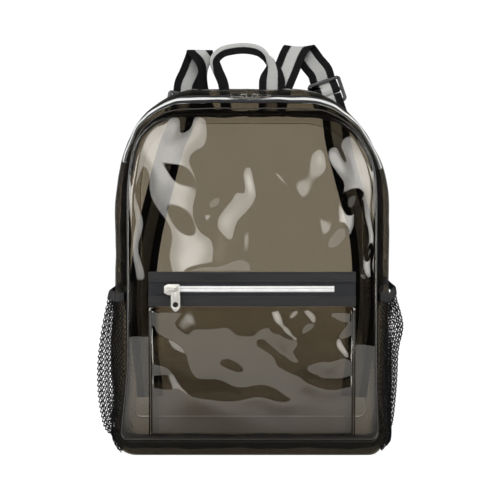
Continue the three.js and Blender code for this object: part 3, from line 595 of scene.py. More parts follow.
# Sizes of the front pocket, which the front sheet backs.
pocket = {
    "half": 113.5, "bottom": 25, "top": 207, "band": 11.5, "tape": 15, "tapeLap": 2,
    "hem": 11, "stand": 2.1, "cloth": 1.4,
    "sheetGrid": (190, 150), "hemGrid": (12, 80), "bandGrid": (200, 14), "tapeGrid": (200, 10),
    "coilEnds": (-94.5, 90), "coilHeight": 6.6, "coilFoot": 0.2, "coilRise": 1.3, "coilRows": 15,
}
bandTopFrom = pocket["top"] - pocket["band"]
tapeFrom = bandTopFrom - pocket["tape"]
bandLowFrom = tapeFrom - pocket["band"]
coilMiddle = (bandTopFrom + tapeFrom) / 2
pocketTop = bandLowFrom - sheetGap

# The tucks are powers: how late the crown or the leans fall off towards the sides and ends.
frontSheet = {
    "columns": 190, "rows": 250, "crown": 2, "crownTuck": 2, "endTuck": 6, "leanTuck": 24,
    "warp": 3.2, "edge": 6,
}
# Leans of the front sheet, as soft ovals: middle, half sizes, lean of the long side from the
# x axis in degrees, and how steeply the sheet rises to the right or upwards in its middle.
leanColumns = "x z long broad lean slopeX slopeZ"
frontLeans = table(leanColumns, [
    (-101, 338, 46, 48, 96, 0.29, -0.13), (-57, 350, 26, 20, -20, 0.2, 0), (-74, 371, 13, 11, 0, -0.3, 0),
    (-78, 269, 62, 30, 114, 0.22, -0.1), (-52, 232, 34, 38, 96, 0.21, -0.05), (-27, 255, 22, 17, 60, 0.2, 0),
    (-15, 277, 34, 20, 50, 0.24, 0), (-1, 309, 14, 9, 80, 0.24, 0), (-126, 250, 56, 8, 92, 0.2, 0),
    (88, 327, 12, 13, 60, -0.28, 0), (119, 314, 42, 42, 90, -0.3, -0.1), (101, 264, 24, 16, 60, -0.27, 0),
    (129, 232, 54, 8, 90, -0.27, 0),
])
# Creases: a bent narrow strip in which the sheet slopes across by slope, with the columns of
# the ovals and how far the strip's ends curl aside.
creaseColumns = "x z long broad lean curl slope"
frontCreases = table(creaseColumns, [(37, 303, 22, 1.7, -48, -0.6, -0.34)])
# Fainter leans of the front sheet behind the pocket.
behindLeans = table(leanColumns, [
    (-46, 80, 70, 26, -14, 0, -0.07), (75, 92, 40, 18, 0, 0, -0.06),
])
# Plain folds of the back sheet: the same columns, with the rise in millimetres.
backSheet = {"columns": 110, "rows": 130, "crown": 3, "crownTuck": 3, "endTuck": 6}
backFolds = table("x z long broad lean rise", [
    (-60, 210, 120, 26, 82, 3), (55, 240, 130, 30, 96, 3), (0, 130, 90, 30, 20, -2),
])
# Two slow sines bend the ovals' outlines: their lengths across and along the way they push.
warpWaves = {"x": (9.5, 31), "z": (8.3, 27)}


def ovalPlace(row, x, z):       # along and across an oval, 1 at its ends
    lean = np.radians(row["lean"])
    p = ((x - row["x"]) * np.cos(lean) + (z - row["z"]) * np.sin(lean)) / row["long"]
    q = ((z - row["z"]) * np.cos(lean) - (x - row["x"]) * np.sin(lean)) / row["broad"]
    return p, q


def ovalBell(row, x, z):
    p, q = ovalPlace(row, x, z)
    return np.exp(-(p * p + q * q))


# Sum of soft leans. Each is a straight slope times a bell over its oval, so it falls back
# beyond its rim; the ovals' outlines are bent a little.
def leanField(rows, x, z, warp):
    bentX = x + warp * np.sin(z / warpWaves["x"][0] + x / warpWaves["x"][1])
    bentZ = z + warp * np.sin(x / warpWaves["z"][0] - z / warpWaves["z"][1])
    stand = np.zeros_like(x)
    for row in rows:
        lift = row["slopeX"] * (bentX - row["x"]) + row["slopeZ"] * (bentZ - row["z"])
        stand = stand + lift * ovalBell(row, bentX, bentZ)
    return stand


# Sum of creases: across each a tanh step that dies away over eight breadths, and along it a
# bell with a level middle.
def creaseField(rows, x, z):
    stand = np.zeros_like(x)
    for row in rows:
        p, q = ovalPlace(row, x, z)
        q = q - row["curl"] * p * p
        stand = stand + row["slope"] * row["broad"] * np.tanh(q) * np.exp(-p ** 4 - (q / 8) ** 2)
    return stand


def fromMiddle(z):              # 0 at the panels' mid height, 1 at their top and bottom
    middle = (seamTop + shell["seamInset"]) / 2
    return np.clip(np.abs(z - middle) / (seamTop - middle), 0, 1)


# Stand of the front sheet before its seam plane: a plain crown and the soft leans, all
# falling to nothing at the seam.
def frontStand(x, z):
    upright = fromMiddle(z)
    inside = seamHalf(z) - np.abs(x - leanAt(z))
    across = np.clip(1 - inside / seamHalf(z), 0, 1)
    crown = frontSheet["crown"] * (1 - across ** frontSheet["crownTuck"])
    crown = crown * (1 - upright ** frontSheet["endTuck"])
    free = ease(inside / frontSheet["edge"]) * (1 - upright ** frontSheet["leanTuck"])
    free = free * ease((z - bandTopFrom) / pocket["band"])
    crown = crown + leanField(behindLeans, x, z, frontSheet["warp"])
    return crown + free * (leanField(frontLeans, x, z, frontSheet["warp"]) + creaseField(frontCreases, x, z))


# Grid of a panel inside the seam outline: u across at each height, v up along the side seam.
def panelGrid(sheet):
    u, v = gridUv(sheet["columns"], sheet["rows"])
    along = mix(bottomRun, crownStart, v)
    inset = shell["seamInset"] - sheetGap
    right, z = ring(along, inset)
    left, _ = ring(-along, inset)
    return mix(left, right, u), z


frontX, frontZ = panelGrid(frontSheet)
frontY = -shell["halfDepth"] - frontStand(frontX, frontZ)


# Depth of the front sheet at any x and z: straight interpolation in its own grid.
def frontAt(x, z):
    x, z = np.broadcast_arrays(np.asarray(x, float), np.asarray(z, float))
    rowZ = frontZ[0]
    row = np.clip(np.searchsorted(rowZ, z) - 1, 0, len(rowZ) - 2)
    t = np.clip((z - rowZ[row]) / (rowZ[row + 1] - rowZ[row]), 0, 1)
    left, right = (mix(frontX[end, row], frontX[end, row + 1], t) for end in (0, -1))
    place = np.clip((x - left) / (right - left), 0, 1) * (len(frontX) - 1)
    column = np.minimum(place.astype(int), len(frontX) - 2)
    low, high = (mix(frontY[column, up], frontY[column + 1, up], place - column) for up in (row, row + 1))
    return mix(low, high, t)


def addPanels():
    outer = np.stack([frontX, frontY, frontZ], -1)
    addWall("front_sheet", smokePvc, ["front_panel"], outer, outer + [0, shell["pvc"], 0])
    x, z = panelGrid(backSheet)
    stand = backSheet["crown"] + sum(row["rise"] * ovalBell(row, x, z) for row in backFolds)
    across = np.clip(np.abs(x - leanAt(z)) / seamHalf(z), 0, 1)
    stand = stand * (1 - across ** backSheet["crownTuck"]) * (1 - fromMiddle(z) ** backSheet["endTuck"])
    outer = np.stack([x, shell["halfDepth"] + stand, z], -1)
    addWall("back_sheet", smokePvc, ["back_panel"], outer, outer - [0, shell["pvc"], 0])


addPanels()
print("front and back sheets ready")


# Front seam: black tape that binds the seam inside the bag, a flange right behind the front
# sheet and a wider one lining the gusset, and a fine bead outside, which lies along the seam
# and over the crown along the edge of the lining.
seamTrim = {
    "flangeSide": 2.2, "flangeTop": 1.2, "flangeBase": 4.5, "flangeIn": 0.6, "flangeTilt": 0.8,
    "lining": 6.2, "liningSide": 22, "liningIn": 0.5, "widenFrom": 125, "widenRun": 40,
    "liningFrom": 0.3, "thick": 0.7, "bead": 0.75, "beadRise": 0.5,
    "slow": 0.6, "slowRun": 13, "fine": 0.4, "fineRun": 5.7,        # waves of the tapes' edges
    "columns": 420, "rows": 6, "beadSteps": 500, "beadSides": 8,
}


def addSeamTrim():
    u, v = gridUv(seamTrim["columns"], seamTrim["rows"])
    along = mix(-halfRun, halfRun, u)
    wave = seamTrim["slow"] * np.sin(along / seamTrim["slowRun"])
    wave = wave + seamTrim["fine"] * np.sin(along / seamTrim["fineRun"] + 1)
    crown = ease((np.abs(along) - shoulderStart) / shoulderRun)
    base = 1 - ease((np.abs(along) - bottomRun) / cornerRun)
    side = seamTrim["flangeSide"]
    breadth = side + crown * (seamTrim["flangeTop"] - side) + base * (seamTrim["flangeBase"] - side) + wave
    sink = seamTrim["flangeIn"] + v * breadth
    x, z = ring(along, shell["seamInset"], sink)
    y = -shell["halfDepth"] + shell["pvc"] + seamTrim["flangeIn"] + seamTrim["flangeTilt"] * v
    flange = np.stack([x, y, z], -1)
    uv = np.stack([sink, along], -1)
    addWall("seam_flange", blackTape, [], flange, flange + [0, seamTrim["thick"], 0], uv)
    low = 1 - ease((np.abs(along) - sideStart - seamTrim["widenFrom"]) / seamTrim["widenRun"])
    lined = mix(seamTrim["liningSide"], seamTrim["lining"], np.maximum(crown, low))
    depth = -seamDepth + seamTrim["liningFrom"] + v * (lined + wave)
    outside = -shell["pvc"] - seamTrim["liningIn"]
    addWall("seam_lining", blackTape, [], gussetPoint(along, depth, outside),
            gussetPoint(along, depth, outside - seamTrim["thick"]), uv)
    along = np.linspace(-halfRun, halfRun, seamTrim["beadSteps"])
    crown = ease((np.abs(along) - shoulderStart) / shoulderRun)
    depth = mix(-shell["halfDepth"], -seamDepth + seamTrim["lining"], crown)
    path = gussetPoint(along, depth, seamTrim["beadRise"])
    bead = tubesShape(path[None], seamTrim["bead"], seamTrim["beadSides"], (0, 1, 0))
    addPiece("seam_bead", beadPvc, [], *bead)


addSeamTrim()
print("front seam ready")


# Front pocket: a clear swelling sheet sewn down at its sides and bottom, hung from two
# grosgrain bands with a recessed zip tape between them. The sheet has leans and creases as
# the front sheet has.
pocketSwell = {"rise": 3.6, "foot": 5, "head": 6, "side": 5, "lean": -0.016, "warp": 2.4}
pocketLeans = table(leanColumns, [
    (-40, 133, 44, 30, -10, 0, 0.075), (60, 122, 50, 26, -4, 0, -0.03), (-102, 124, 22, 22, 90, 0, -0.07),
    (-84, 108, 34, 13, -58, 0, -0.17), (-61, 79, 42, 20, -24, 0, -0.15), (-14, 76, 56, 10, -9, 0, -0.15),
    (43, 104, 26, 8, -50, 0, -0.16), (84, 86, 40, 10, 3, 0, -0.15), (-86, 171, 24, 26, 5, 0, 0.13),
    (91, 171, 24, 34, -6, 0, 0.13),
])
pocketCreases = table(creaseColumns, [
    (32, 150, 24, 5.2, -54, 0.9, -0.32), (62.5, 161, 12, 4.8, -48, 0.2, -0.3),
    (99, 122.5, 12, 4.2, -52, 0.2, -0.32),
])


# How far the pocket's sheet stands out from the front sheet: a plain swell that rises fast
# from its sewn edges, a slight backward lean, and the leans and creases.
def pocketLift(x, z):
    foot = ease((z - pocket["bottom"]) / pocketSwell["foot"])
    head = ease((pocketTop - z) / pocketSwell["head"])
    side = ease((pocket["half"] - np.abs(x)) / pocketSwell["side"])
    stand = pocketSwell["rise"] + pocketSwell["lean"] * (z - (pocket["bottom"] + pocketTop) / 2)
    stand = stand + leanField(pocketLeans, x, z, pocketSwell["warp"]) + creaseField(pocketCreases, x, z)
    behind = frontAt(x, z) + shell["halfDepth"] + frontSheet["crown"]
    return np.maximum(0.0, (stand + behind) * foot * head * side)


# The bands lie a little wavy, as a sewn tape does.
bandWaves = {"slow": 0.25, "slowRun": 17, "slowRise": 9, "fine": 0.15, "fineRun": 7.3}


def bandLift(x, z):
    slow = bandWaves["slow"] * np.sin(x / bandWaves["slowRun"] + z / bandWaves["slowRise"])
    return slow + bandWaves["fine"] * np.sin(x / bandWaves["fineRun"])


def noLift(x, z):
    return 0.0


# Outer and inner grids of a patch lying a given stand before the front sheet, with its own
# millimetres as UV.
def frontPatch(left, right, bottom, top, stand, thickness, grid, lift=noLift):
    u, v = gridUv(*grid)
    x, z = mix(left, right, u), mix(bottom, top, v)
    inner = np.stack([x, frontAt(x, z) - stand - lift(x, z), z], -1)
    return inner - [0, thickness, 0], inner, np.stack([z - (bottom + top) / 2, x], -1)


def addPocket():
    half, stand, cloth, bottom = (pocket[k] for k in ("half", "stand", "cloth", "bottom"))
    patch = frontPatch(-half, half, bottom, pocketTop, stand, shell["pvc"], pocket["sheetGrid"], pocketLift)
    addWall("pocket_sheet", smokePvc, ["pocket_panel"], *patch[:2])
    for hand, left, right in (("left", -half, pocket["hem"] - half), ("right", half - pocket["hem"], half)):
        patch = frontPatch(left, right, bottom, pocketTop, sheetGap, shell["pvc"], pocket["hemGrid"])
        addWall(f"pocket_hem_sheet_{hand}", smokePvc, [f"pocket_hem_{hand}"], *patch[:2])
    for label, low, high in (("upper", bandTopFrom, pocket["top"]), ("lower", bandLowFrom, tapeFrom)):
        patch = frontPatch(-half, half, low, high, stand, cloth, pocket["bandGrid"], bandLift)
        addWall(f"pocket_grosgrain_{label}", blackTape, [f"pocket_band_{label}"], *patch)
    low, high = tapeFrom - pocket["tapeLap"], bandTopFrom + pocket["tapeLap"]
    patch = frontPatch(-half, half, low, high, stand - cloth - sheetGap, cloth, pocket["tapeGrid"])
    addWall("pocket_tape", zipTape, ["pocket_zip_tape"], *patch)


# Lock stitches in rows: each a short arched thread that dips into the cloth at both ends.
stitch = {
    "pitch": 3.4, "reach": 2.3, "half": 0.3, "arch": 0.3, "sides": 5,
    "sideIn": 2.4, "bandIn": 2.0, "foot": 3, "head": 2,     # how far in from the edges the rows run
}


def stitchRow(start, end, faceAt):      # x and z at both ends, and the face's depth at x and z
    start, end = np.array(start, float), np.array(end, float)
    length = np.linalg.norm(end - start)
    count = int(length / stitch["pitch"])
    at = (np.arange(count)[:, None] + 0.5) * length / count + np.linspace(-0.5, 0.5, 4) * stitch["reach"]
    x, z = (mix(start[k], end[k], at / length) for k in (0, 1))
    y = faceAt(x, z) - stitch["arch"] * np.array([-1, 1, 1, -1.0])
    return tubesShape(np.stack([x, y, z], -1), stitch["half"], stitch["sides"], (0, 1, 0))


def addStitches():
    half, stand, edge = pocket["half"] - stitch["sideIn"], pocket["stand"], stitch["bandIn"]

    def onSheet(x, z):
        return frontAt(x, z) - stand - pocketLift(x, z) - shell["pvc"]

    def onBand(x, z):
        return frontAt(x, z) - stand - bandLift(x, z) - pocket["cloth"]

    low, high = pocket["bottom"] + stitch["foot"], pocketTop - stitch["head"]
    rows = [stitchRow((s * half, low), (s * half, high), onSheet) for s in (-1, 1)]
    # The hem stitches get the grey thread whose colour is a painted highlight.
    addPiece("pocket_hem_stitches", greyThreadPaintedGlint, [], *joinShapes(rows))
    heights = (bandLowFrom + edge, tapeFrom - edge, bandTopFrom + edge, pocket["top"] - edge)
    rows = [stitchRow((-half, z), (half, z), onBand) for z in heights]
    addPiece("pocket_band_stitches", blackThread, [], *joinShapes(rows))


addPocket()
addStitches()
print("front pocket ready")


# Zip coils: two rounded rows of ribs side by side, half a pitch out of step, with a groove
# between them. across runs from -1 to 1 over the coil and along is in millimetres.
coilLook = {"pitch": 1.7, "samples": 6, "ribDepth": 0.32, "rowMiddle": 0.5, "rowHalf": 0.52}


def coilRise(across, along):
    aside = (np.abs(across) - coilLook["rowMiddle"]) / coilLook["rowHalf"]
    row = np.sqrt(np.clip(1 - aside ** 2, 0, 1))
    turn = 2 * np.pi * along / coilLook["pitch"] + np.where(across > 0, np.pi, 0)
    return row * (1 - coilLook["ribDepth"] * (0.5 + 0.5 * np.cos(turn)))


def coilGrid(start, end, rows):         # along and across, with samples to each rib
    u, v = gridUv(int((end - start) / coilLook["pitch"]) * coilLook["samples"], rows)
    return mix(start, end, u), 2 * v - 1


def addMainZip():
    for label, front, back in (("front", tapeFront, coilFront - sheetGap),
                               ("back", coilBack + sheetGap, tapeBack)):
        wall = gussetWall(zipFrom, zipTo, front, back, zipLine["columns"], zipLine["tapeRows"])
        addWall(f"main_tape_{label}", zipTape, [f"main_zip_tape_{label}"], *wall)
    along, across = coilGrid(zipFrom, zipTo, zipLine["coilRows"])
    depth = zipLine["y"] + across * zipLine["coilWidth"] / 2
    sink = zipLine["crownSink"] * ease(1 - np.abs(along - halfRun) / zipLine["sinkHalf"])
    outer = gussetPoint(along, depth, zipLine["coilRise"] * coilRise(across, along) - sink)
    inner = gussetPoint(along, depth, -shell["pvc"])
    addWall("main_coil", coilWhite, ["main_zip_coil"], outer, inner)


def addPocketCoil():
    x, across = coilGrid(*pocket["coilEnds"], pocket["coilRows"])
    z = coilMiddle + across * pocket["coilHeight"] / 2
    inner = np.stack([x, frontAt(x, coilMiddle) - pocket["stand"], z], -1)
    rise = pocket["coilFoot"] + pocket["coilRise"] * coilRise(across, x)
    outer = inner - rise[..., None] * [0, 1, 0]
    addWall("pocket_coil", coilWhite, ["pocket_zip_coil"], outer, inner)


# A copy of a hard CAD piece: its triangles merged into plain faces, with rounded edges.
def addRounded(node, name, look, body, width):
    shape = bmesh.new()
    shape.from_mesh(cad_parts[node].data)
    bmesh.ops.remove_doubles(shape, verts=shape.verts, dist=1e-6)
    bmesh.ops.dissolve_limit(shape, angle_limit=0.03, verts=shape.verts, edges=shape.edges)
    mesh = bpy.data.meshes.new(name)
    shape.to_mesh(mesh)
    shape.free()
    mesh.materials.clear()
    bevel = linkPiece(name, look, [node], mesh, body).modifiers.new("rounded edges", "BEVEL")
    bevel.width, bevel.segments, bevel.limit_method = width, 3, "ANGLE"
    bevel.angle_limit, bevel.harden_normals = 0.5, True


addMainZip()
addPocketCoil()
sliders = table("node name body width", [
    ("main_slider_left", "main_slider_body_left", "bag", 0.0003),
    ("main_pull_left", "main_pull_tab_left", "pull_main_left", 0.0003),
    ("main_slider_right", "main_slider_body_right", "bag", 0.0003),
    ("main_pull_right", "main_pull_tab_right", "pull_main_right", 0.0003),
    ("pocket_slider", "pocket_slider_body", "bag", 0.00035),
    ("pocket_pull", "pocket_pull_tab", "pull_pocket", 0.0003),
])
for row in sliders:
    addRounded(look=silverMetal, **row)
print("zips ready")


# Net side pockets: diamond net on a slack surface outside each side, with a bound top edge.
netLook = {
    "stand": 1.4, "rise": 42, "halfDepth": 64, "least": 1.5, "start": bottomRun + 0.35 * cornerRun,
    "binding": 9, "bindingThick": 1.6, "bindingColumns": 90, "bindingRows": 8,
    "bindingRound": 0.5, "bindingWave": 0.25, "bindingWaveRun": 3.1,
    "cellWide": 8, "cellTall": 6.2, "strand": 0.55, "overlap": 0.3, "steps": 70, "sides": 4,
    "cutSteps": 500, "fewest": 6,       # how finely strands are cut, and the least worth keeping
}
netTops = {
    "left": {"front": 184, "middle": 183, "back": 201},
    "right": {"front": 184, "middle": 184, "back": 212},
}
# How far each net stands out at its ridge, how deep the ridge lies, and a bulge at a share of
# the net's height above its middle.
netSwells = {
    "left": {"low": 3, "middle": 22, "top": 10, "ridge": 12, "bulge": 0, "bulgeAt": 0},
    "right": {"low": 0, "middle": 12, "top": 11, "ridge": 20, "bulge": 8, "bulgeAt": 0.3},
}
bulgeSpan = 0.12


def alongSide(z):
    return sideStart + z - shell["corner"]


def netTop(hand, depth):        # a parabola through the front, middle and back heights
    top, reach = netTops[hand], depth / netLook["halfDepth"]
    slope = (top["back"] - top["front"]) / 2
    bow = (top["back"] + top["front"]) / 2 - top["middle"]
    return top["middle"] + slope * reach + bow * reach ** 2


# A point of the net: its ridge near mid depth stands out by a parabola of height through the
# low, middle and top swells and a bell for its bulge. From there it runs straight to the sewn
# sides, but never closer to the gusset than a small stand, which fades to nothing at the edges.
def netPoint(hand, depth, along, stand):
    swell, half = netSwells[hand], netLook["halfDepth"]
    reach, climb = np.abs(depth) / half, along - netLook["start"]
    short = 1 - np.clip(climb / netLook["rise"], 0, 1)
    height = climb / (alongSide(netTop(hand, depth)) - netLook["start"]) - 0.5
    bow = 2 * (swell["top"] + swell["low"] - 2 * swell["middle"])
    ridge = swell["middle"] + (swell["top"] - swell["low"]) * height + bow * height ** 2
    ridge = ridge + swell["bulge"] * np.exp(-((height - swell["bulgeAt"]) / bulgeSpan) ** 2)
    apart = depth - swell["ridge"]
    side = np.abs(apart) / np.where(apart > 0, half - swell["ridge"], half + swell["ridge"])
    tent = ridge * (1 - side) - shell["seamInset"] * (side - reach ** 2)
    stands = (tent + np.sqrt(tent ** 2 + netLook["least"] ** 2)) / 2 * (1 - short ** 2) * (1 - reach ** 8)
    turned = -along if hand == "left" else along
    x, z = ring(turned, gussetInset(turned, depth, gussetDents), -netLook["stand"] - stands - stand)
    return np.stack([x, depth + 0 * x, z], -1)


# Strands of one slant, as depth and along: straight lines over the flat net, each cut where
# it meets a sewn side or the binding.
def netStrands(hand, slant):
    half, start = netLook["halfDepth"], netLook["start"]
    slope = slant * netLook["cellWide"] / netLook["cellTall"]
    tall = alongSide(max(netTops[hand].values())) - start
    reach = half + tall * abs(slope)
    climb = np.linspace(0, tall, netLook["cutSteps"])
    strands = []
    for foot in np.arange(-reach, reach, netLook["cellWide"]):
        depth = foot + slope * climb
        top = alongSide(netTop(hand, depth) - netLook["binding"])
        inside = (np.abs(depth) <= half) & (start + climb <= top)
        if inside.sum() > netLook["fewest"]:
            s = np.linspace(*climb[inside][[0, -1]], netLook["steps"])
            strands.append(np.stack([foot + slope * s, start + s], -1))
    return np.array(strands)


def addNet(hand):
    shapes = []
    for slant in (-1, 1):
        flat = netStrands(hand, slant)
        lift = netLook["strand"] * (1 + netLook["overlap"] * slant)
        paths = netPoint(hand, flat[..., 0], flat[..., 1], lift)
        shapes.append(tubesShape(paths, netLook["strand"], netLook["sides"], (1, 0, 0)))
    addPiece(f"net_{hand}", netYarn, [f"mesh_pocket_{hand}"], *joinShapes(shapes))
    u, v = gridUv(netLook["bindingColumns"], netLook["bindingRows"])
    depth = mix(-netLook["halfDepth"], netLook["halfDepth"], u)
    along = alongSide(netTop(hand, depth)) + (v - 1) * netLook["binding"]
    full = netLook["bindingRound"] * np.sin(np.pi * v)
    full = full + netLook["bindingWave"] * np.sin(depth / netLook["bindingWaveRun"] + 2 * v)
    outer = netPoint(hand, depth, along, netLook["bindingThick"] + full)
    addWall(f"net_binding_{hand}", greyBinding, [f"mesh_binding_{hand}"], outer,
            netPoint(hand, depth, along, 0.0), np.stack([along, depth], -1))


for hand in ("left", "right"):
    addNet(hand)
print("net pockets ready")


# Webbing: shoulder straps, their turns round the adjusters, and the handle. x, y, z is the
# middle of the band in millimetres, yaw turns its width about +Z and lean tips it with the
# adjuster, in degrees, and slip moves the stripes aside.
webbing = {
    "width": 32, "thick": 1.6, "steps": 14, "across": 25, "wave": 0.35, "square": 0.5,
    "waveRun": 11, "waveAcross": 9, "edgeThin": 0.45, "edgePower": 10,
}
adjusterPlaces = {
    "left": {"x": -86, "y": 113, "z": 404, "lean": 10},
    "right": {"x": 94, "y": 113, "z": 420, "lean": -19},
}
strapColumns = "x y z yaw lean slip"
strapRoutes = {
    "upper_left": table(strapColumns, [
        (-60, 63.5, 387, 0, 0, 23), (-60, 70, 391, 0, 0, 23), (-59, 77, 398, 30, 0, 23),
        (-58.5, 83, 412, 62, 0, 23), (-60, 87, 429, 74, 0, 23), (-61, 91, 446, 72, 0, 19),
        (-62.5, 94.5, 458, 48, 0, 11), (-64, 98, 467, 14, 0, 3), (-64.5, 101.5, 471, 0, 0, 0),
        (-65, 105, 470.5, 0, 0, 0), (-67, 109, 464, 0, 3, 0), (-75, 112.5, 444, 0, 8, 0),
    ]),
    "upper_right": table(strapColumns, [
        (24, 66, 387.5, 0, 0, 0), (24, 72, 391, 0, 0, 0), (26, 77.5, 399, 0, 0, 0),
        (32, 81, 420, 3, 0, 0), (42.5, 89, 446, 5, 0, 0), (51, 96, 467, 5, 0, 0),
        (56, 100.5, 474.5, 5, 0, 0), (61, 105, 475, 5, 0, 0), (66, 109, 470, 4, -6, 0),
        (75, 112.5, 458, 2, -14, 0),
    ]),
    "lower_left": table("x y z", [
        (-125, 74.8, 44), (-127, 77, 64), (-133, 87, 105), (-137, 96, 170), (-129, 101, 238),
        (-116, 106, 295), (-101, 111, 352),
    ]),
    "lower_right": table("x y z", [
        (125, 74.8, 44), (128, 77, 64), (135, 87, 105), (141, 96, 172), (137, 101, 243),
        (122, 106, 302), (108, 111, 358),
    ]),
}
# How a strap threads its adjuster, from its standing part to its sewn end: out is forwards and
# up is above the adjuster's middle. The upper strap comes down behind the top bar and turns
# round the middle bar; the lower strap turns round the bottom bar in a slack loop.
threadings = {
    "upper": table("out up", [
        (-1.5, 27), (-3.0, 19), (-3.3, 14), (-1.6, 9.6), (1.8, 6.2), (3.3, 2.5), (3.3, 0), (2.3, -2.5),
        (0, -3.5), (-2.3, -2.5), (-3.3, 0), (-3.4, 3.5),
    ]),
    "lower": table("out up", [
        (-1.5, -28), (-3.0, -20), (-3.3, -14.5), (-2.8, -8), (0, -5), (2.8, -8), (3.3, -14.5),
        (3.0, -20), (1.5, -31),
    ]),
}


def threadRows(place, part):
    lean = np.radians(place["lean"])
    return [{"x": place["x"] + row["up"] * np.sin(lean), "y": place["y"] - row["out"],
             "z": place["z"] + row["up"] * np.cos(lean), "lean": place["lean"]} for row in threadings[part]]


# Middle, tangent, length gone and the named columns along a route; a column left out is 0.
def routeFrames(rows, names, steps):
    values = [[row.get(name, 0) for name in ["x", "y", "z"] + names.split()] for row in rows]
    curve = throughPoints(np.array(values, float), steps)
    middle = curve[:, :3]
    gone = np.cumsum(np.linalg.norm(np.diff(middle, axis=0, prepend=middle[:1]), axis=1))
    return middle, unit(np.gradient(middle, axis=0)), gone, curve[:, 3:].T


# Both faces of a band from its middle surface, striped along its length.
def addBand(name, stands, base, lift, across, gone):
    uv = np.stack(np.broadcast_arrays(across, gone[:, None]), -1)
    addWall(name, stripedWebbing, stands, base + lift, base - lift, uv)


# A band with its width near level, turned by yaw and leaned with the adjuster: it stands half
# as far off square to its run as a level width would. Its edges are a little thinner than its
# middle and it ripples slightly along its length.
def addStrap(name, stands, rows):
    middle, tangent, gone, (yaw, lean, slip) = routeFrames(rows, "yaw lean slip", webbing["steps"])
    yaw, lean = np.radians(yaw), np.radians(lean)
    wide = np.stack([np.cos(yaw) * np.cos(lean), np.sin(yaw), -np.cos(yaw) * np.sin(lean)], -1)
    wide = unit(wide - webbing["square"] * tangent * np.sum(wide * tangent, -1, keepdims=True))
    normal = unit(np.cross(tangent, wide))[:, None]
    across = np.linspace(-0.5, 0.5, webbing["across"]) * webbing["width"]
    edge = (np.abs(across) / across[-1]) ** webbing["edgePower"]
    thick = webbing["thick"] / 2 * (1 - webbing["edgeThin"] * edge)
    ripple = np.sin(gone / webbing["waveRun"])[:, None] * np.sin(across / webbing["waveAcross"])
    ripple = webbing["wave"] * ripple[..., None] * normal
    base = middle[:, None] + across[:, None] * wide[:, None] + ripple
    addBand(name, stands, base, thick[:, None] * normal, across - slip[:, None], gone)


# The handle's band is folded lengthwise over its left leg and grip and opens flat down its
# right leg: half is the fold's half width at its crest, and open and pinch run from 0 to 1.
handleRoute = table("x y z half open slip pinch", [
    (-30.5, 64, 388, 1.1, 0, 8, 0), (-30.5, 69, 391.5, 1.1, 0, 8, 0), (-31.5, 74.5, 400, 1.1, 0, 8, 0),
    (-35, 76.4, 428, 1.3, 0, 8, 0), (-42, 76.4, 445, 1.6, 0, 5, 0), (-45, 76.4, 456, 1.8, 0, 1, 0),
    (-37, 76.4, 465, 2.2, 0, 0, 0), (-23, 76.4, 469, 2.4, 0, 0, 0), (-8.5, 76.4, 470, 2.4, 0, 0, 0),
    (6, 76.4, 467.5, 2.2, 0, 0, 0), (15.5, 76.2, 461.5, 1.8, 0, 0, 0.25),
    (22.5, 75.8, 454, 1.2, 0.4, 0, 0.95), (25, 75.2, 443, 0.8, 0.9, 0, 0.4),
    (24.5, 74.8, 430, 0.4, 1, 0, 0), (24, 73.6, 405, 0.1, 1, 0, 0), (24, 68, 392.5, 0.1, 1, 0, 0),
    (23.5, 62, 388.5, 0.1, 1, 0, 0),
])
handleFold = {
    "tall": 12, "steps": 9, "across": 41, "pinched": 5, "tuck": 0.6, "thin": 0.9,
    "crestSpread": 3.2, "hang": 1.1,
}


# Across the folded band the two halves hang inwards from a round crest; across the open band
# they lie flat. In between, each point moves straight from one place to the other. Where the
# band is pinched its edges are tucked behind its middle.
def addHandle():
    middle, tangent, gone, (half, opened, slip, pinch) = routeFrames(
        handleRoute, "half open slip pinch", handleFold["steps"])
    outward = unit(np.cross(tangent, np.array([0, 1.0, 0])))
    across = np.linspace(-0.5, 0.5, handleFold["across"]) * webbing["width"]
    opened, pinch = ease(opened)[:, None], np.clip(pinch, 0, 1)[:, None]
    fromCrest = np.abs(across) / across[-1]
    crest = np.sqrt(1 - (1 - np.clip(fromCrest * handleFold["crestSpread"], 0, 1)) ** 2)
    out = handleFold["tall"] * (0.5 - fromCrest ** handleFold["hang"])
    aside = np.sign(across) * half[:, None] * crest
    narrow = handleFold["pinched"]
    out = mix(mix(out, -across, opened), -narrow * np.tanh(across / narrow), pinch)
    tucked = -handleFold["tuck"] * np.maximum(np.abs(across) - narrow, 0)
    aside = mix(mix(aside, 0, opened), tucked, pinch)
    base = middle[:, None] + out[..., None] * outward[:, None] + aside[..., None] * np.array([0, -1.0, 0])
    normal = unit(np.cross(unit(np.gradient(base, axis=0)), unit(np.gradient(base, axis=1))))
    addBand("handle_webbing", ["top_handle"], base, normal * webbing["thick"] / 2 * handleFold["thin"],
            across + slip[:, None], gone)


for hand in ("left", "right"):
    for part in ("upper", "lower"):
        route = strapRoutes[f"{part}_{hand}"] + threadRows(adjusterPlaces[hand], part)
        addStrap(f"strap_webbing_{part}_{hand}", [f"strap_{part}_{hand}"], route)
    addRounded(f"adjuster_{hand}", f"adjuster_frame_{hand}", blackPlastic, "bag", 0.0008)
addHandle()
print("webbing ready")


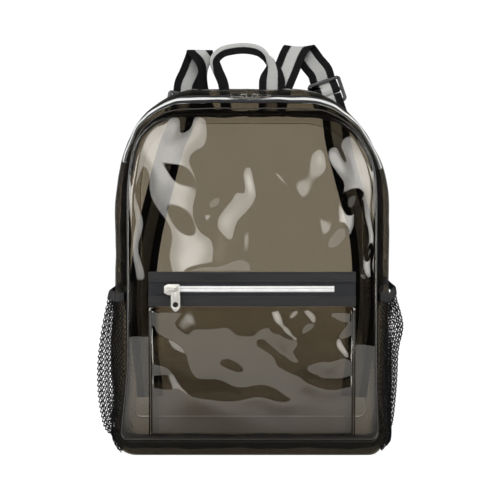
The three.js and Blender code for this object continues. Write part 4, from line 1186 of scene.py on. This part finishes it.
# Plain pale floor, soft lights and a world that is white behind the bag and dim elsewhere.
stageLook = {
    "floorFront": -1.02, "floorBack": 2.6, "floorHalf": 2.2, "floorDrop": 0.0004,      # metres
    "floorColour": (0.2, 0.2, 0.2, 1), "floorGlow": 0.98, "mirrorGlow": 1.0, "floorLight": 0.3,
    "shadowBehindNear": 0.25, "shadowBehindFar": 1.6, "shade": 0.4,   # metres behind the bag, over which a painted shadow of the bag darkens the floor seen through its sheets
    "mirrorShadowNear": -0.08, "mirrorShadowFar": -0.5,               # metres before the bag, between which the mirrored floor darkens in a painted shadow of the bag
    "dim": 0.02, "behind": 0.05, "ambient": 0.07, "white": 1.02,
    "behindFrom": 0.55, "behindTo": 0.8,                # of a heading's backward share
}


# Pale to the eye. Its glow carries a painted shadow of the bag: darker behind the bag where its
# sheets are looked through and, where it is mirrored, falling away towards the bag.
def makeFloor():
    material, tree = newMaterial("pale_floor")
    place = addNode(tree, "ShaderNodeTexCoord").outputs["Object"]
    _, back, _ = addNode(tree, "ShaderNodeSeparateXYZ", i0=place).outputs
    # Painted shadow of the bag on the floor as the sheets mirror it, dark near the bag.
    mirroredShadow = stepNode(tree, back, stageLook["mirrorShadowNear"], stageLook["mirrorShadowFar"], 0.0, stageLook["mirrorGlow"])
    # Painted shadow of the bag on the floor behind it, as seen through its sheets.
    behind = stepNode(tree, back, stageLook["shadowBehindNear"], stageLook["shadowBehindFar"], stageLook["shade"])
    rays = addNode(tree, "ShaderNodeLightPath").outputs
    through = mathNode(tree, "GREATER_THAN", rays["Transparent Depth"], 0.5)
    glow = mixValues(tree, through, stageLook["floorGlow"], behind)
    glow = mixValues(tree, rays["Is Diffuse Ray"], glow, stageLook["floorLight"])
    glow = mixValues(tree, rays["Is Glossy Ray"], glow, mirroredShadow)
    principled(tree, Base_Color=stageLook["floorColour"], Roughness=0.9,
               Emission_Color=(1, 1, 1, 1), Emission_Strength=glow)
    half, low = stageLook["floorHalf"], -stageLook["floorDrop"]
    front, back = stageLook["floorFront"], stageLook["floorBack"]
    mesh = bpy.data.meshes.new("floor")
    mesh.from_pydata([(-half, front, low), (half, front, low), (half, back, low), (-half, back, low)],
                     [], [(0, 1, 2, 3)])
    mesh.materials.append(material)
    floor = bpy.data.objects.new("floor", mesh)
    bpy.context.scene.collection.objects.link(floor)


# Soft boxes as the sheets mirror them. Headings before the bag are sideways over forwards and
# upwards over forwards; each box is dull at its inner edge and bright beyond its ramp.
mirrorBoxes = table("side inner outer low high dull bright rampFrom rampTo", [
    (-1, 0.18, 1.8, -0.12, 0.9, 3.3, 7.5, 0.25, 0.7),
    (1, 0.36, 1.8, -0.12, 0.9, 3.5, 7.5, 0.4, 0.75),
])
boxEdge = 0.02


def betweenNode(tree, value, low, high):        # 1 between two values, with soft edges
    return mathNode(tree, "MULTIPLY", stepNode(tree, value, low - boxEdge, low + boxEdge),
                    stepNode(tree, value, high + boxEdge, high - boxEdge))


# White to the eye; to what the sheets mirror it is dim but for the boxes and a faint back.
def makeWorld():
    world = bpy.data.worlds.new("studio")
    bpy.context.scene.world = world
    world.use_nodes = True
    tree = world.node_tree
    tree.nodes.clear()
    rays = addNode(tree, "ShaderNodeLightPath").outputs
    heading = addNode(tree, "ShaderNodeTexCoord").outputs["Generated"]
    right, back, up = addNode(tree, "ShaderNodeSeparateXYZ", i0=heading).outputs
    forward = mathNode(tree, "MAXIMUM", mathNode(tree, "MULTIPLY", back, -1.0), 0.001)
    aside = mathNode(tree, "DIVIDE", right, forward)
    above = mathNode(tree, "DIVIDE", up, forward)
    glow = stepNode(tree, back, stageLook["behindFrom"], stageLook["behindTo"],
                    stageLook["dim"], stageLook["behind"])
    for box in mirrorBoxes:
        across = mathNode(tree, "MULTIPLY", aside, box["side"])
        inside = mathNode(tree, "MULTIPLY", betweenNode(tree, across, box["inner"], box["outer"]),
                          betweenNode(tree, above, box["low"], box["high"]))
        shine = stepNode(tree, across, box["rampFrom"], box["rampTo"], box["dull"], box["bright"])
        glow = mathNode(tree, "MULTIPLY_ADD", inside, shine, glow)
    mirrored = mixColours(tree, rays["Is Glossy Ray"], (stageLook["ambient"],) * 3 + (1,), glow)
    seen = mixColours(tree, rays["Is Camera Ray"], mirrored, (stageLook["white"],) * 3 + (1,))
    sky = addNode(tree, "ShaderNodeBackground", Color=seen)
    addNode(tree, "ShaderNodeOutputWorld", Surface=sky.outputs[0])


# A flat soft light facing a target, of given width, height and brightness beside white. The
# sheets mirror the world's boxes in its stead.
def addSoftLight(name, place, target, width, height, brightness):
    lamp = bpy.data.lights.new(name, "AREA")
    lamp.shape = "RECTANGLE"
    lamp.size, lamp.size_y = width, height
    lamp.energy = brightness * np.pi * width * height
    light = bpy.data.objects.new(name, lamp)
    light.visible_glossy = False
    light.location = place
    light.rotation_euler = (Vector(target) - Vector(place)).to_track_quat("-Z", "Y").to_euler()
    bpy.context.scene.collection.objects.link(light)


softLights = table("name place target width height brightness", [
    ("left_light", (-0.2, -1.15, 0.9), (0, 0.1, 0.35), 0.5, 1.7, 3.2),
    ("right_light", (0.1, -1.15, 0.8), (0, 0.1, 0.3), 0.5, 1.5, 2.6),
    ("top_light", (0, -0.8, 1.6), (0, 0.0, 0.3), 1.6, 0.8, 2.2),
])

photoView = {
    "eye": (0, -1300, 281), "focalPixels": 1123.6, "imagePixels": 500,
    "column": 252, "row": 204,      # where the level line straight ahead of the eye meets the photo
}


def addCamera():
    half, focal = photoView["imagePixels"] / 2, photoView["focalPixels"]
    ahead = Vector(((half - photoView["column"]) / focal, 1, (photoView["row"] - half) / focal))
    data = bpy.data.cameras.new("photo_camera")
    data.sensor_width = 36
    data.lens = focal / photoView["imagePixels"] * data.sensor_width
    data.clip_start, data.clip_end = 0.05, 50
    camera = bpy.data.objects.new("photo_camera", data)
    camera.location = Vector(photoView["eye"]) / 1000 + Vector(baseMiddle)
    camera.rotation_euler = ahead.to_track_quat("-Z", "Y").to_euler()
    bpy.context.scene.collection.objects.link(camera)
    bpy.context.scene.camera = camera


makeFloor()
makeWorld()
for row in softLights:
    addSoftLight(**row)
addCamera()
bpy.context.scene.view_settings.view_transform = "Standard"
bpy.context.scene.cycles.transparent_max_bounces = 48
print("stage, lights and camera ready")
